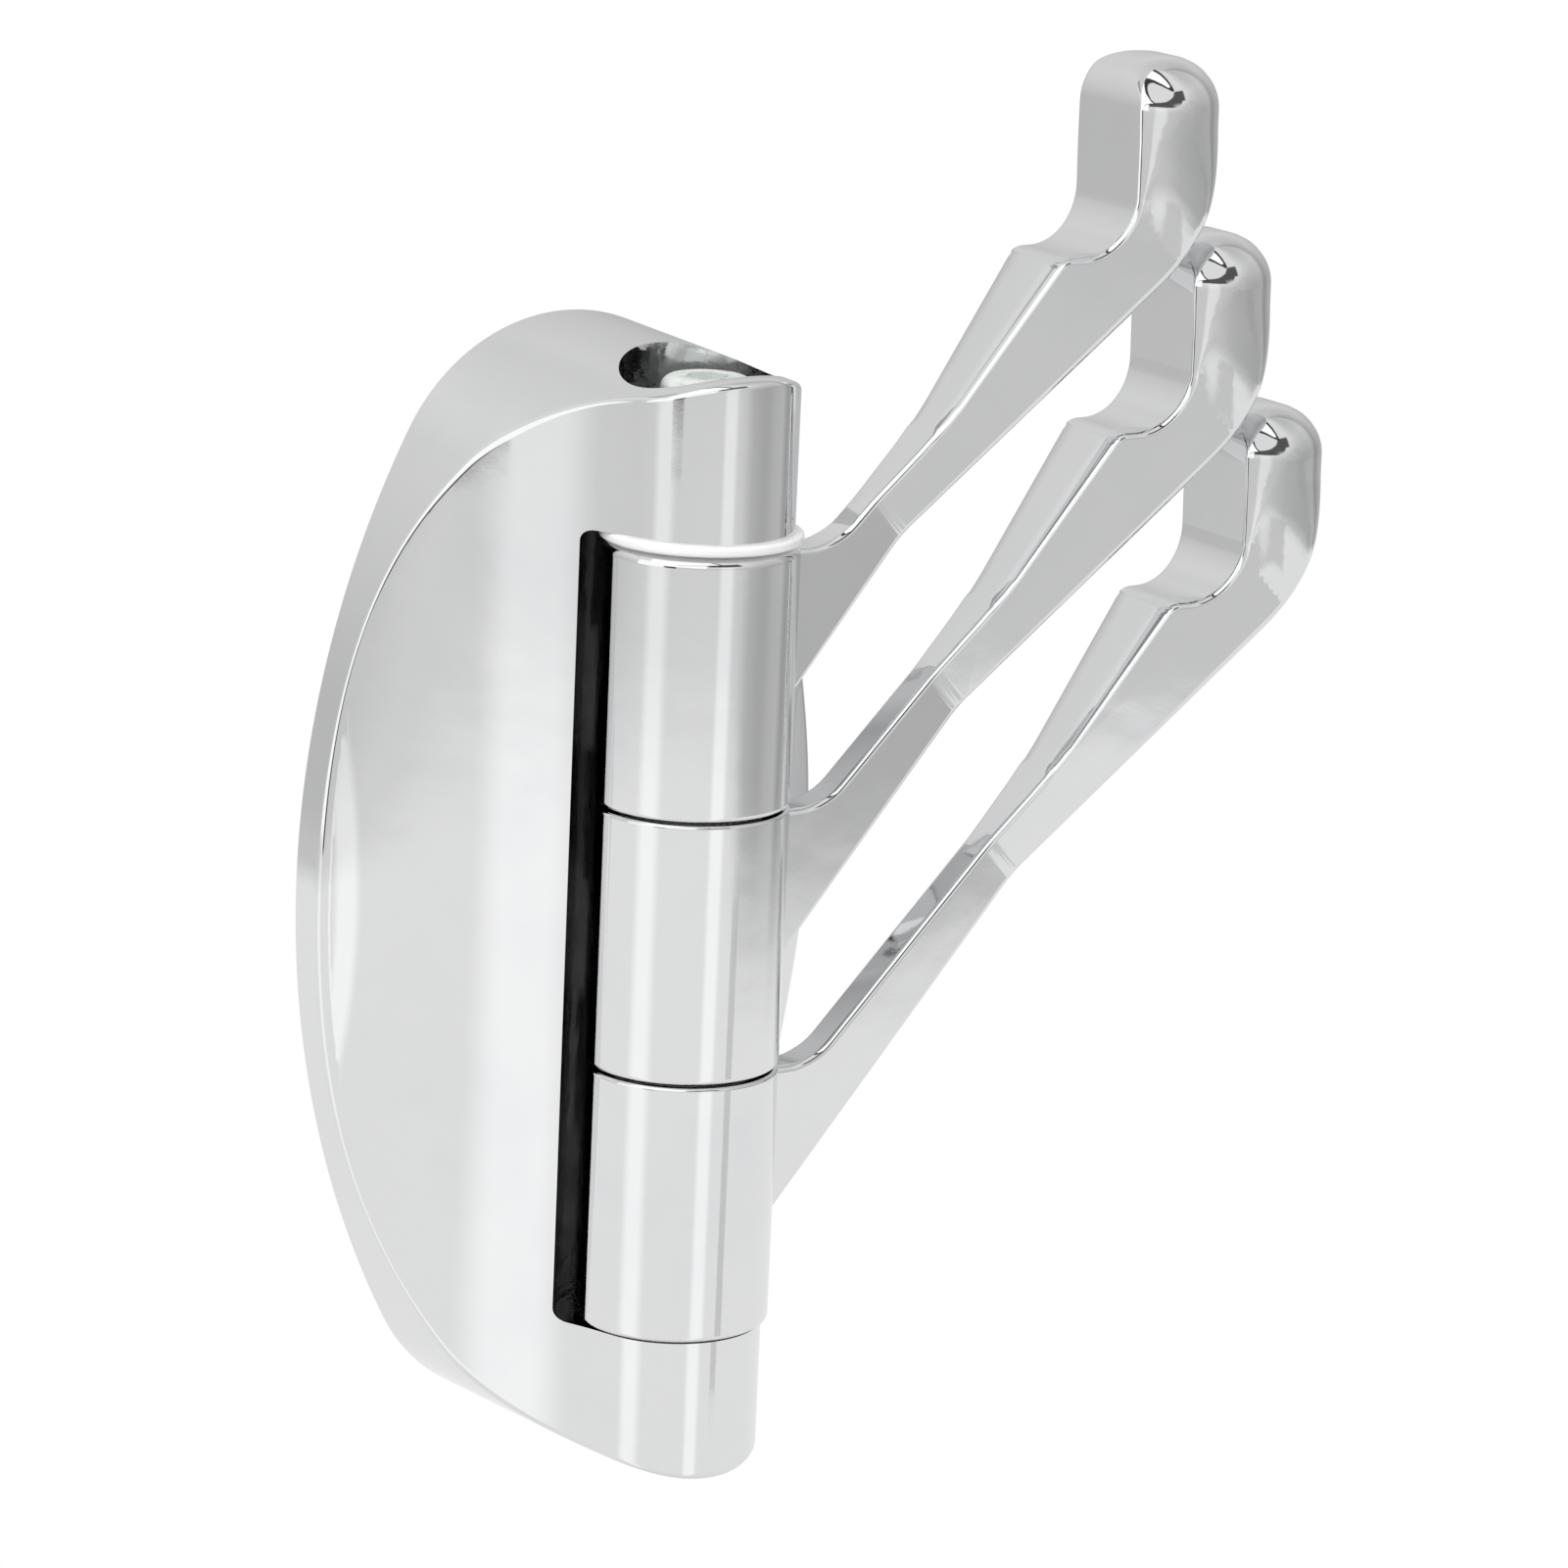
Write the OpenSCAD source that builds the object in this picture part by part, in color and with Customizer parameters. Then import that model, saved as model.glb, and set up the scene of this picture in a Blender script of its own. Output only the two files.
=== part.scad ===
// Wall hook with three swinging arms on one upright pivot.
// Millimetres. X runs to the right, Y runs into the wall, Z runs up.
// The origin is the centre of the back face, which lies on the wall.

/* [Body] */
// Width of the oval back
body_w = 45.6; // [44:0.2:48]
// Height of the casting above the opening for the barrels, and below it
end_land = 12.75; // [12.6:0.05:15]
// Radius of the upper and lower end of the oval
oval_end_r = 15.8; // [14.5:0.1:17]
// Distance from the wall to the pivot axis
axis_out = 19.6; // [19.2:0.1:21]
// Radius of the round nose that holds the pivot
nose_r = 7; // [6.8:0.1:7.4]
// Thickness of the rim at the wall
rim_t = 1.3; // [1.2:0.1:1.8]
// Radius of the hollow flank between the rim and the nose
flank_r = 34; // [26:1:38]
// Angle at which the upper and lower faces fall towards the nose
top_fall = 2.2; // [0:0.1:3]
// Wall of the casting round the hollow back
body_wall = 2; // [1.8:0.1:2.2]
// Wall of the casting between the hollow back and the opening
back_wall = 2.7; // [2.2:0.1:3]
// Wall of the casting above and below the hollow back
end_wall = 5.7; // [5.2:0.1:6.2]
// Distance of the middle of the opening below the middle of the back
opening_drop = 0.55; // [0:0.05:0.8]
// Thickness of the casting between the arms and the head recess
top_wall = 5.7; // [5:0.1:6]
// Thickness of the casting between the arms and the nut pocket
nut_wall = 4.5; // [4:0.1:4.8]

/* [Arms] */
// Radius of the rounded barrel of an arm
knuckle_r = 7.5; // [7.2:0.1:7.8]
// Height of the barrel of an arm
knuckle_h = 20.1; // [19:0.1:20.5]
// Chamfer round the ends of a barrel
knuckle_edge = 0.6; // [0.2:0.1:1]
// Gap between one barrel and the next
joint_gap = 0.25; // [0.2:0.05:0.4]
// Gap between the barrels and the casting behind them
swing_gap = 1.8; // [1:0.1:2]
// Distance from the pivot to the seat of the upper arm
reach_top = 29; // [26:0.5:34]
// Height of the seat of the upper arm above the middle of its barrel
rise_top = 30.3; // [28:0.1:34]
// Extra reach of each lower arm
reach_step = 6; // [5.5:0.1:8]
// Drop from each seat to the next one below it
seat_drop = 13.85; // [13.6:0.05:14.8]
// Thickness of the plain strip beside the barrel
strip_t = 3; // [2.4:0.1:4]
// Thickness of the hook end
hook_t = 9.2; // [8:0.1:10]
// Distance of the root of the strip below the top of the barrel
root_inset = 1.05; // [0.7:0.05:3]
// Distance of the root of the strip from the pivot
root_out = 11.1; // [10:0.1:12]
// Height of the strip where it leaves the middle of the barrel
foot_h = 16.4; // [12:0.1:17]
// Slope of the lower edge of the hook end, in degrees
under_slope = 41.2; // [40:0.1:43]
// Swing of the arms from the wall towards the room, in degrees
arm_swing = 3; // [0:1:90]

/* [Seat and knob] */
// Width of the seat
seat_w = 6.2; // [5.8:0.1:7.5]
// Radius in the corner of the seat
seat_r = 4.6; // [3:0.1:5]
// Radius of the head of the knob
head_r = 4.05; // [3.8:0.05:4.6]
// Height of the middle of the head above the seat
head_up = 10.9; // [9.5:0.1:12]
// Radius on the upper edges of the head
head_edge_r = 3.6; // [2:0.1:4]
// Radius of the back of the hook end
back_r = 16.2; // [15:0.1:18]
// Height of the middle of that radius above the seat
back_up = 9.3; // [8.5:0.1:10]
// Run of the steep upper edge in front of the seat
neck_run = 9.5; // [8:0.1:11]
// Fall of that edge
neck_fall = 13; // [12:0.1:14]
// Distance below the seat, along the arm, where it starts to widen
flare_from = 23.3; // [20:0.1:25]
// Distance beyond the seat, along the arm, where it is full width
flare_to = 9.3; // [7:0.1:10]

/* [Pivot] */
// Diameter of the pivot bolt
bolt_d = 4; // [3.8:0.1:4.4]
// Diameter of the bolt head
head_d = 7; // [6.6:0.1:8]
// Height of the bolt head
head_h = 4; // [3:0.1:4.4]
// Width of the hexagon socket in the head
socket_w = 3; // [2.5:0.1:3.4]
// Depth of the hexagon socket
socket_depth = 2.2; // [1.5:0.1:2.6]
// Diameter of the head recess in the casting
recess_d = 12.4; // [11:0.1:12.6]
// Distance of the middle of the recess behind the pivot
recess_back = 0.8; // [0:0.1:1.2]
// Outer diameter of the flat washer under the head
flat_washer_d = 9; // [8:0.1:10]
// Thickness of the flat washer
flat_washer_t = 0.8; // [0.5:0.1:1]
// Outer diameter of the spring washer
spring_washer_d = 7; // [6.6:0.1:7.6]
// Thickness of the spring washer
spring_washer_t = 1; // [0.8:0.1:1.2]
// Cut through the spring washer
spring_cut = 0.7; // [0.4:0.1:1]
// Outer diameter of the white washer above the upper arm
top_washer_d = 15.4; // [15:0.1:15.6]
// Thickness of the white washer
top_washer_t = 0.8; // [0.5:0.1:1.2]
// Outer diameter of the thin washers between the barrels
thin_washer_d = 11; // [9:0.1:12]
// Depth of the pocket in each barrel for its thin washer
pocket_depth = 0.5; // [0.3:0.05:0.8]
// Width of the lock nut across its flats
nut_w = 7; // [6.6:0.1:7.4]
// Height of the lock nut
nut_h = 5; // [4:0.1:5.2]
// Height of the plastic ring inside the lock nut
ring_h = 1.6; // [1:0.1:2]
// Wall of the plastic ring
ring_wall = 0.8; // [0.5:0.1:1]
// Thread that stands out of the nut
thread_out = 1; // [0.5:0.1:1.5]

/* [Wall bracket] */
// Width of the bracket plate
plate_w = 26; // [22:1:28]
// Room in the hollow back above and below the bracket plate
plate_room = 7; // [6.5:0.5:8]
// Thickness of the bracket plate
plate_t = 2; // [1.5:0.1:2.2]
// Distance between the two wall screws
screw_pitch = 40; // [32:1:44]
// Diameter of each wall screw hole
screw_hole_d = 4.6; // [4:0.1:5]
// Diameter of the countersink
countersink_d = 8.4; // [7:0.1:8.6]
// Width of the upper tongue and the lower tab
tongue_w = 12; // [10:0.5:14]
// Distance that the tongue stands out
tongue_out = 6; // [5.6:0.1:6.4]
// Thickness of the turned-up end of the tongue
lip_t = 1.5; // [1:0.1:1.6]
// Height of the turned-up end
lip_h = 3.5; // [2.5:0.1:4]
// Width of the cast rib that hangs on the tongue
rib_w = 16; // [12:0.5:18]
// Diameter of the set screw in the lower end
set_screw_d = 4; // [3:0.1:4.4]
// Distance from the wall to the set screw
set_screw_out = 5; // [4.6:0.1:5.4]
// Diameter of the point of the set screw
set_point_d = 2.4; // [2:0.1:2.6]
// Length of the point
set_point_h = 1.5; // [1:0.1:1.8]
// Depth that the set screw lies inside the casting
set_screw_inset = 1; // [0.5:0.1:2]
// Width of the hexagon socket in the set screw
set_socket_w = 2; // [1.5:0.1:2]
// Depth of that socket
set_socket_depth = 2; // [1:0.1:2.5]

/* [Hidden] */
$fn = 96;

// Overrun of every cut
over = 1;
// Radial play of a turning barrel on the bolt
turn_clear = 0.05;
// End play of a turning barrel
end_clear = 0.05;
// Play of a bolt in a drilled hole of the casting
drill_clear = 0.15;
// Play round the nut in its pocket
nut_clear = 0.05;
// Play between the rib and the lip
hang_clear = 0.1;
// Play round a thin washer in its pocket
pocket_clear = 0.3;
// Play of the set screw in its thread
thread_clear = 0.02;
// Overlap that lets the end arcs of the oval cross its side arcs
cap_overlap = 0.02;

sides_of_hex = 6;
hex_across = 1 / cos(180 / sides_of_hex);

pin_r = bolt_d / 2;

// Upright stack of the three barrels in the opening of the casting
opening_h = top_washer_t + end_clear + 3 * knuckle_h + 3 * joint_gap;
opening_top = opening_h / 2 - opening_drop;
opening_low = opening_top - opening_h;
pitch = knuckle_h + joint_gap;
rise_step = pitch - seat_drop;
root_up = knuckle_h / 2 - root_inset;
barrel_mid = opening_top - top_washer_t - end_clear - knuckle_h / 2;
recess_floor = opening_top + top_wall;
head_low = recess_floor + flat_washer_t + spring_washer_t;
nut_top = opening_low - nut_wall;
nut_low = nut_top - nut_h;
opening_r = knuckle_r + swing_gap;
washer_t = pocket_depth + joint_gap - 2 * end_clear;

// Oval: its height covers the opening and both lands, and it has two half sizes
body_h = opening_h + 2 * end_land;
oval_a = body_w / 2;
oval_b = body_h / 2;

// Middle of the flank radius, which starts at the rim and ends tangent to the nose
rim_to_axis = norm([oval_a, axis_out - rim_t]);
flank_along = (flank_r * flank_r - (flank_r + nose_r) * (flank_r + nose_r)
    + rim_to_axis * rim_to_axis) / (2 * rim_to_axis);
flank_aside = sqrt(flank_r * flank_r - flank_along * flank_along);
flank_cx = oval_a + ((axis_out - rim_t) * flank_aside - oval_a * flank_along) / rim_to_axis;
flank_cy = rim_t + ((axis_out - rim_t) * flank_along + oval_a * flank_aside) / rim_to_axis;
nose_tx = flank_cx * nose_r / (flank_r + nose_r);
nose_ty = axis_out + (flank_cy - axis_out) * nose_r / (flank_r + nose_r);

// Hollow back, with the bracket plate inside it
hollow_h = body_h - 2 * end_wall;
hollow_depth = axis_out - opening_r - back_wall;
plate_h = hollow_h - 2 * plate_room;
bracket_top = plate_h / 2;
set_screw_low = -(oval_b - set_screw_out * tan(top_fall)) + set_screw_inset;

// Oval of two long side arcs and two end arcs, for any half sizes
module oval(a, b, r) {
    side_r = (a * a + (b - r) * (b - r) - r * r) / (2 * (a - r));
    tangent_y = (b - r) * (1 + r / (side_r - r));
    intersection() {
        translate([side_r - a, 0]) circle(side_r);
        translate([a - side_r, 0]) circle(side_r);
        square([2 * a + 2 * over, 2 * tangent_y], center = true);
    }
    for (s = [-1, 1]) translate([0, s * (b - r)]) circle(r + cap_overlap);
}

// Plan of the casting: rim, hollow flanks and round nose
module plan() {
    difference() {
        polygon([
            [-oval_a, 0], [-oval_a, -rim_t], [-nose_tx, -nose_ty], [nose_tx, -nose_ty],
            [oval_a, -rim_t], [oval_a, 0]
        ]);
        for (s = [-1, 1]) translate([s * flank_cx, -flank_cy]) circle(flank_r);
    }
    translate([0, -axis_out]) circle(nose_r);
}

// Upper half of the oval block, which falls towards the nose
module half_block() {
    intersection() {
        rotate([top_fall, 0, 0]) translate([0, body_h, 0]) rotate([90, 0, 0])
            linear_extrude(2 * body_h)
                oval(oval_a, oval_b * cos(top_fall), oval_end_r);
        translate([-body_w, -body_h, 0]) cube([2 * body_w, 2 * body_h, body_h]);
    }
}

// Pocket in the back that keeps the wall under the flanks
module hollow_back() {
    intersection() {
        linear_extrude(hollow_h, center = true) difference() {
            translate([-oval_a, -hollow_depth]) square([2 * oval_a, hollow_depth + over]);
            for (s = [-1, 1]) translate([s * flank_cx, -flank_cy]) circle(flank_r + body_wall);
        }
        translate([0, 2 * over, 0]) rotate([90, 0, 0]) linear_extrude(hollow_depth + 4 * over)
            oval(oval_a - body_wall, oval_b - body_wall, oval_end_r - body_wall);
    }
}

// Cast rib in the hollow back that hangs behind the lip of the bracket
module rib() {
    rib_out = tongue_out - lip_t - hang_clear;
    translate([-rib_w / 2, -rib_out, bracket_top])
        cube([rib_w, rib_out - hang_clear, hollow_h / 2 - bracket_top + over]);
}

module body_casting() {
    color("silver") difference() {
        intersection() {
            linear_extrude(2 * body_h, center = true) plan();
            union() {
                half_block();
                mirror([0, 0, 1]) half_block();
            }
        }
        translate([0, -axis_out, opening_low]) cylinder(h = opening_h, r = opening_r);
        translate([0, recess_back - axis_out, recess_floor]) cylinder(h = body_h, d = recess_d);
        translate([0, -axis_out, -body_h]) cylinder(h = 2 * body_h, r = pin_r + drill_clear);
        translate([0, -axis_out, nut_top - body_h])
            cylinder(h = body_h, r = (nut_w / 2 + nut_clear) * hex_across, $fn = sides_of_hex);
        translate([0, -set_screw_out, -body_h])
            cylinder(h = body_h - hollow_h / 2 + over, r = set_screw_d / 2 + thread_clear);
        difference() {
            hollow_back();
            rib();
        }
    }
}

// Side outline of an arm, in its own plane: pivot at x 0, middle of the barrel at y 0
module arm_outline(reach, rise) {
    back_x = reach + seat_w + 2 * head_r - back_r;
    tip_x = back_x + back_r * sin(under_slope);
    tip_y = rise + back_up - back_r * cos(under_slope);
    kink_w = flare_from / sqrt(2);
    // The kink lies where the lower edge meets the start of the widening
    kink_x = (reach + rise - 2 * kink_w - tip_y + tip_x * tan(under_slope))
        / (1 + tan(under_slope));
    kink_y = tip_y - (tip_x - kink_x) * tan(under_slope);
    foot_x = knuckle_r / 2;
    difference() {
        polygon([
            [foot_x, root_up], [root_out, root_up], [reach - neck_run, rise - neck_fall],
            [reach, rise], [reach + seat_w - seat_r, rise],
            [reach + seat_w - seat_r, rise + seat_r], [reach + seat_w, rise + seat_r],
            [reach + seat_w, rise + head_up], [tip_x, rise + head_up], [tip_x, tip_y],
            [kink_x, kink_y], [foot_x, root_up - foot_h]
        ]);
        translate([reach + seat_w - seat_r, rise + seat_r]) circle(seat_r);
    }
    intersection() {
        translate([back_x, rise + back_up]) circle(back_r);
        translate([tip_x, tip_y]) square([back_r, rise + head_up - tip_y]);
    }
    translate([reach + seat_w + head_r, rise + head_up]) circle(head_r);
}

// Widening of the arm along its length, seen from above the arm
module flare(reach, rise) {
    far = reach + rise;
    translate([reach, 0, rise]) rotate([0, -45, 0])
        linear_extrude(2 * far, center = true) polygon([
            [-far, -strip_t / 2], [-flare_from, -strip_t / 2], [flare_to, -hook_t / 2],
            [far, -hook_t / 2], [far, hook_t / 2], [flare_to, hook_t / 2],
            [-flare_from, strip_t / 2], [-far, strip_t / 2]
        ]);
}

// Cross-section of the knob with its rounded upper edges
module knob_section(reach, rise) {
    crown = rise + head_up + head_r;
    rotate([90, 0, 90]) linear_extrude(2 * (reach + rise)) {
        translate([-hook_t / 2, -crown]) square([hook_t, 2 * crown - head_edge_r]);
        translate([head_edge_r - hook_t / 2, -crown])
            square([hook_t - 2 * head_edge_r, 2 * crown]);
        for (s = [-1, 1]) translate([s * (hook_t / 2 - head_edge_r), crown - head_edge_r])
            circle(head_edge_r);
    }
}

module barrel() {
    rotate_extrude() polygon([
        [0, -knuckle_h / 2], [knuckle_r - knuckle_edge, -knuckle_h / 2],
        [knuckle_r, knuckle_edge - knuckle_h / 2], [knuckle_r, knuckle_h / 2 - knuckle_edge],
        [knuckle_r - knuckle_edge, knuckle_h / 2], [0, knuckle_h / 2]
    ]);
}

// Arm number i, counted down from the upper one
module arm(i) {
    reach = reach_top + i * reach_step;
    rise = rise_top + i * rise_step;
    translate([0, -axis_out, barrel_mid - i * pitch]) rotate([0, 0, -arm_swing]) difference() {
        union() {
            barrel();
            intersection() {
                rotate([90, 0, 0]) linear_extrude(hook_t, center = true)
                    arm_outline(reach, rise);
                flare(reach, rise);
                knob_section(reach, rise);
            }
        }
        cylinder(h = knuckle_h + 2 * over, r = pin_r + turn_clear, center = true);
        translate([0, 0, -knuckle_h / 2 - over])
            cylinder(h = pocket_depth + over, r = thin_washer_d / 2 + pocket_clear);
    }
}

module arm_upper() { color("lightsteelblue") arm(0); }
module arm_middle() { color("lightblue") arm(1); }
module arm_lower() { color("powderblue") arm(2); }

module pivot_bolt() {
    color("darkseagreen") translate([0, -axis_out, 0]) difference() {
        union() {
            translate([0, 0, nut_low - thread_out])
                cylinder(h = head_low - nut_low + thread_out, r = pin_r);
            translate([0, 0, head_low]) cylinder(h = head_h, d = head_d);
        }
        translate([0, 0, head_low + head_h - socket_depth])
            cylinder(h = socket_depth + over, d = socket_w * hex_across, $fn = sides_of_hex);
    }
}

// Flat ring on the pivot, from z upwards
module pivot_ring(z, t, d, hole_r) {
    translate([0, -axis_out, z]) difference() {
        cylinder(h = t, d = d);
        translate([0, 0, -over]) cylinder(h = t + 2 * over, r = hole_r);
    }
}

module flat_washer() {
    color("gainsboro") pivot_ring(recess_floor, flat_washer_t, flat_washer_d, pin_r + turn_clear);
}

module spring_washer() {
    color("dimgray") difference() {
        pivot_ring(recess_floor + flat_washer_t, spring_washer_t, spring_washer_d,
            pin_r + turn_clear);
        translate([-spring_cut / 2, -axis_out - spring_washer_d, recess_floor])
            cube([spring_cut, spring_washer_d, flat_washer_t + 2 * spring_washer_t]);
    }
}

module top_washer() {
    color("white") pivot_ring(opening_top - top_washer_t, top_washer_t, top_washer_d, pin_r);
}

module thin_washers() {
    color("ivory") for (i = [0 : 2])
        pivot_ring(barrel_mid - i * pitch - knuckle_h / 2 - joint_gap + end_clear, washer_t,
            thin_washer_d, pin_r);
}

module lock_nut() {
    color("khaki") translate([0, -axis_out, nut_low]) difference() {
        cylinder(h = nut_h, d = nut_w * hex_across, $fn = sides_of_hex);
        translate([0, 0, -over]) cylinder(h = nut_h + 2 * over, r = pin_r);
        translate([0, 0, -over]) cylinder(h = ring_h + over, r = pin_r + ring_wall);
    }
}

module nut_ring() {
    color("royalblue") pivot_ring(nut_low, ring_h, bolt_d + 2 * ring_wall, pin_r);
}

module wall_bracket() {
    color("slategray") difference() {
        union() {
            translate([-plate_w / 2, -plate_t, -bracket_top]) cube([plate_w, plate_t, plate_h]);
            translate([-tongue_w / 2, -tongue_out, bracket_top - plate_t])
                cube([tongue_w, tongue_out, plate_t]);
            translate([-tongue_w / 2, -tongue_out, bracket_top - plate_t])
                cube([tongue_w, lip_t, plate_t + lip_h]);
            translate([-tongue_w / 2, -set_screw_out - set_screw_d / 2, -bracket_top])
                cube([tongue_w, set_screw_out + set_screw_d / 2, plate_t]);
        }
        for (s = [-1, 1]) translate([0, 0, s * screw_pitch / 2]) rotate([90, 0, 0]) {
            translate([0, 0, -over]) cylinder(h = plate_t + 2 * over, d = screw_hole_d);
            translate([0, 0, plate_t - (countersink_d - screw_hole_d) / 2])
                cylinder(h = (countersink_d - screw_hole_d) / 2 + over, d1 = screw_hole_d,
                    d2 = countersink_d + 2 * over);
        }
        translate([0, -set_screw_out, -bracket_top - over])
            cylinder(h = plate_t + 2 * over, r = set_point_d / 2 + thread_clear);
    }
}

module set_screw() {
    color("black") translate([0, -set_screw_out, 0]) difference() {
        union() {
            translate([0, 0, set_screw_low])
                cylinder(h = -bracket_top - set_screw_low, d = set_screw_d);
            translate([0, 0, -bracket_top]) cylinder(h = set_point_h, d = set_point_d);
        }
        translate([0, 0, set_screw_low - over])
            cylinder(h = set_socket_depth + over, d = set_socket_w * hex_across,
                $fn = sides_of_hex);
    }
}

body_casting();
arm_upper();
arm_middle();
arm_lower();
pivot_bolt();
flat_washer();
spring_washer();
top_washer();
thin_washers();
lock_nut();
nut_ring();
wall_bracket();
set_screw();
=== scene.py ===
import math

import bmesh
import bpy
from mathutils import Matrix, Vector


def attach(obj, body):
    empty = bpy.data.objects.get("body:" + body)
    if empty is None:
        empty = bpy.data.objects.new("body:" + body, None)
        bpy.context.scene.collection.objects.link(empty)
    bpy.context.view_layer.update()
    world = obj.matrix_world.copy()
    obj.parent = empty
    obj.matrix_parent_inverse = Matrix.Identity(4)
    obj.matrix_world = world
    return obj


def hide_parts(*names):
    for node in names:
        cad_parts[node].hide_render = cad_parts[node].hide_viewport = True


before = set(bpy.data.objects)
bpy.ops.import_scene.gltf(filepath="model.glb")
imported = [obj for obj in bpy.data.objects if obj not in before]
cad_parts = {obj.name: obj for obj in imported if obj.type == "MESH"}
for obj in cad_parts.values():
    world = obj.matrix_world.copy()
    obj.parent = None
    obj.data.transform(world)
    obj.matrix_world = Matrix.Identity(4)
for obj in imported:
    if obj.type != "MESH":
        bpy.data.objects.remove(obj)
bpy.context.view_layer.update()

# ---------------------------------------------------------------- Camera
# The photograph looks at the object from the front left and a little above, with a long lens.
camera_data = bpy.data.cameras.new("camera")
camera_data.sensor_width = 36
camera_data.lens = 141.07
camera_data.clip_start = 0.01
camera = bpy.data.objects.new("camera", camera_data)
bpy.context.scene.collection.objects.link(camera)
sight = Vector((0.56246, 0.79181, -0.23807)).normalized()
level = Vector((0.82053, -0.57001, 0.04277)).normalized()
upright = level.cross(sight)
eye = (-0.25503, -0.39067, 0.12129)
camera.matrix_world = Matrix.Translation(eye) @ Matrix(
    (level, upright, -sight)).transposed().to_4x4()
bpy.context.scene.camera = camera

# ---------------------------------------------------------------- Body casting
# One zinc die-casting that hangs on the wall bracket: an oval outline, two hollow flanks that run
# into a round nose, an opening for the barrels of the arms, a recess for the bolt head, and a
# hollow back. The outside is ground, polished and chrome plated; the inside of the hollow back is
# left as cast, and the inside of the opening is made near black as painted shade.
MM = 0.001
OVAL_A, OVAL_B, OVAL_END_R = 22.799, 43.7, 15.8
AXIS_Y = -19.6
NOSE_R = 7.0
RIM_T = 1.3
FLANK_R = 34.0
LIP_W, LIP_H, LIP_LONG = 11.0, 2.4, 37.0
DISH, DISH_X, DISH_W = 1.1, 12, 5
FALL = math.radians(2.2)
WALL_EDGE = 0.15
STRIP_STEP, STRIP_COUNT = 2.5, 12
OPENING_LOW, OPENING_TOP, OPENING_R = -31.5, 30.4, 9.3
RECESS_FLOOR, RECESS_D, RECESS_Y = 36.1, 12.4, -18.8
BOLT_HOLE_R = 2.15
NUT_TOP, NUT_POCKET = -36.0, 7.1
HOLLOW_H, HOLLOW_DEPTH, WALL = 76.0, 7.6, 2.0
RIB_W, RIB_OUT, RIB_LOW = 16.0, 4.4, 31.0
SET_SCREW_Y, SET_HOLE_R, SET_HOLE_TOP = -5.0, 2.02, -36
MOUTH_EDGE = 0.28
CLEAR = 60


def flank_centre():
    """Middle of the hollow radius between the rim and the nose."""
    span = math.hypot(OVAL_A, -AXIS_Y - RIM_T)
    along = (FLANK_R ** 2 - (FLANK_R + NOSE_R) ** 2 + span ** 2) / (2 * span)
    aside = math.sqrt(FLANK_R ** 2 - along ** 2)
    ux, uy = -OVAL_A / span, (-AXIS_Y - RIM_T) / span
    return OVAL_A + along * ux + aside * uy, RIM_T + along * uy - aside * ux


FLANK_X, FLANK_Y = flank_centre()
NOSE_TX = FLANK_X * NOSE_R / (FLANK_R + NOSE_R)


def front_of(x, z):
    """Depth of the skin in front of the wall at a place, and the way that it faces there."""
    if abs(x) <= NOSE_TX:
        out = math.sqrt(NOSE_R ** 2 - x * x)
        return -AXIS_Y + out, Vector((x, -out, 0)).normalized()
    dx = FLANK_X - abs(x)
    dy = math.sqrt(FLANK_R ** 2 - dx * dx)
    # Along the sides the flank flattens out into a thicker rim, which fades up and down
    lip = max(0.0, 1 - (OVAL_A - abs(x)) / LIP_W)
    fade = max(0.0, 1 - (z / LIP_LONG) ** 2)
    lip_h = LIP_H * fade * fade
    slope = dx / dy - 2 * lip_h / LIP_W * lip
    lean = 4 * z * LIP_H * fade / LIP_LONG ** 2 * lip * lip
    return FLANK_Y - dy + lip_h * lip * lip, Vector(
        (math.copysign(slope, x), -1, lean)).normalized()


def arc(bm, start, centre, axis, angle, steps):
    """Spins the last point of a line round a centre, and returns the new points in order."""
    made = [start]
    turn = Matrix.Rotation(angle / steps, 4, axis)
    for _ in range(steps):
        edge = bmesh.ops.extrude_vert_indiv(bm, verts=[made[-1]])
        tip = edge["verts"][0]
        bmesh.ops.rotate(bm, verts=[tip], cent=centre, matrix=turn.to_3x3())
        made.append(tip)
    return made[1:]


def oval_wire(bm, a, b, r, y, end_steps, side_steps):
    """Closed oval of two long side arcs and two end arcs in the plane y."""
    side_r = (a * a + (b - r) ** 2 - r * r) / (2 * (a - r))
    half_end = math.asin((side_r - a) / (side_r - r))
    half_side = math.pi / 2 - half_end
    axis = Vector((0, 1, 0))
    points = [bm.verts.new((a, y, 0))]
    points += arc(bm, points[-1], (a - side_r, y, 0), axis, -half_side, side_steps)
    points += arc(bm, points[-1], (0, y, b - r), axis, -2 * half_end, end_steps)
    points += arc(bm, points[-1], (side_r - a, y, 0), axis, -2 * half_side, 2 * side_steps)
    points += arc(bm, points[-1], (0, y, r - b), axis, -2 * half_end, end_steps)
    points += arc(bm, points[-1], (a - side_r, y, 0), axis, -half_side, side_steps)
    bmesh.ops.remove_doubles(bm, verts=bm.verts, dist=1e-5)
    return [p for p in points if p.is_valid]


def as_object(name, bm):
    """Links the finished bmesh as an object, in millimetres while it is worked on."""
    mesh = bpy.data.meshes.new(name)
    bm.to_mesh(mesh)
    bm.free()
    made = bpy.data.objects.new(name, mesh)
    bpy.context.scene.collection.objects.link(made)
    return made


def combine(body, tool, how):
    """Cuts, joins or keeps the common part of two closed shapes. The tool is used up."""
    step = body.modifiers.new("combine", "BOOLEAN")
    step.operation, step.solver, step.object = how, "EXACT", tool
    bpy.context.view_layer.update()
    shape = bpy.data.meshes.new_from_object(
        body.evaluated_get(bpy.context.evaluated_depsgraph_get()))
    body.modifiers.clear()
    old, body.data = body.data, shape
    bpy.data.meshes.remove(old)
    bpy.data.objects.remove(tool)


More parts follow.
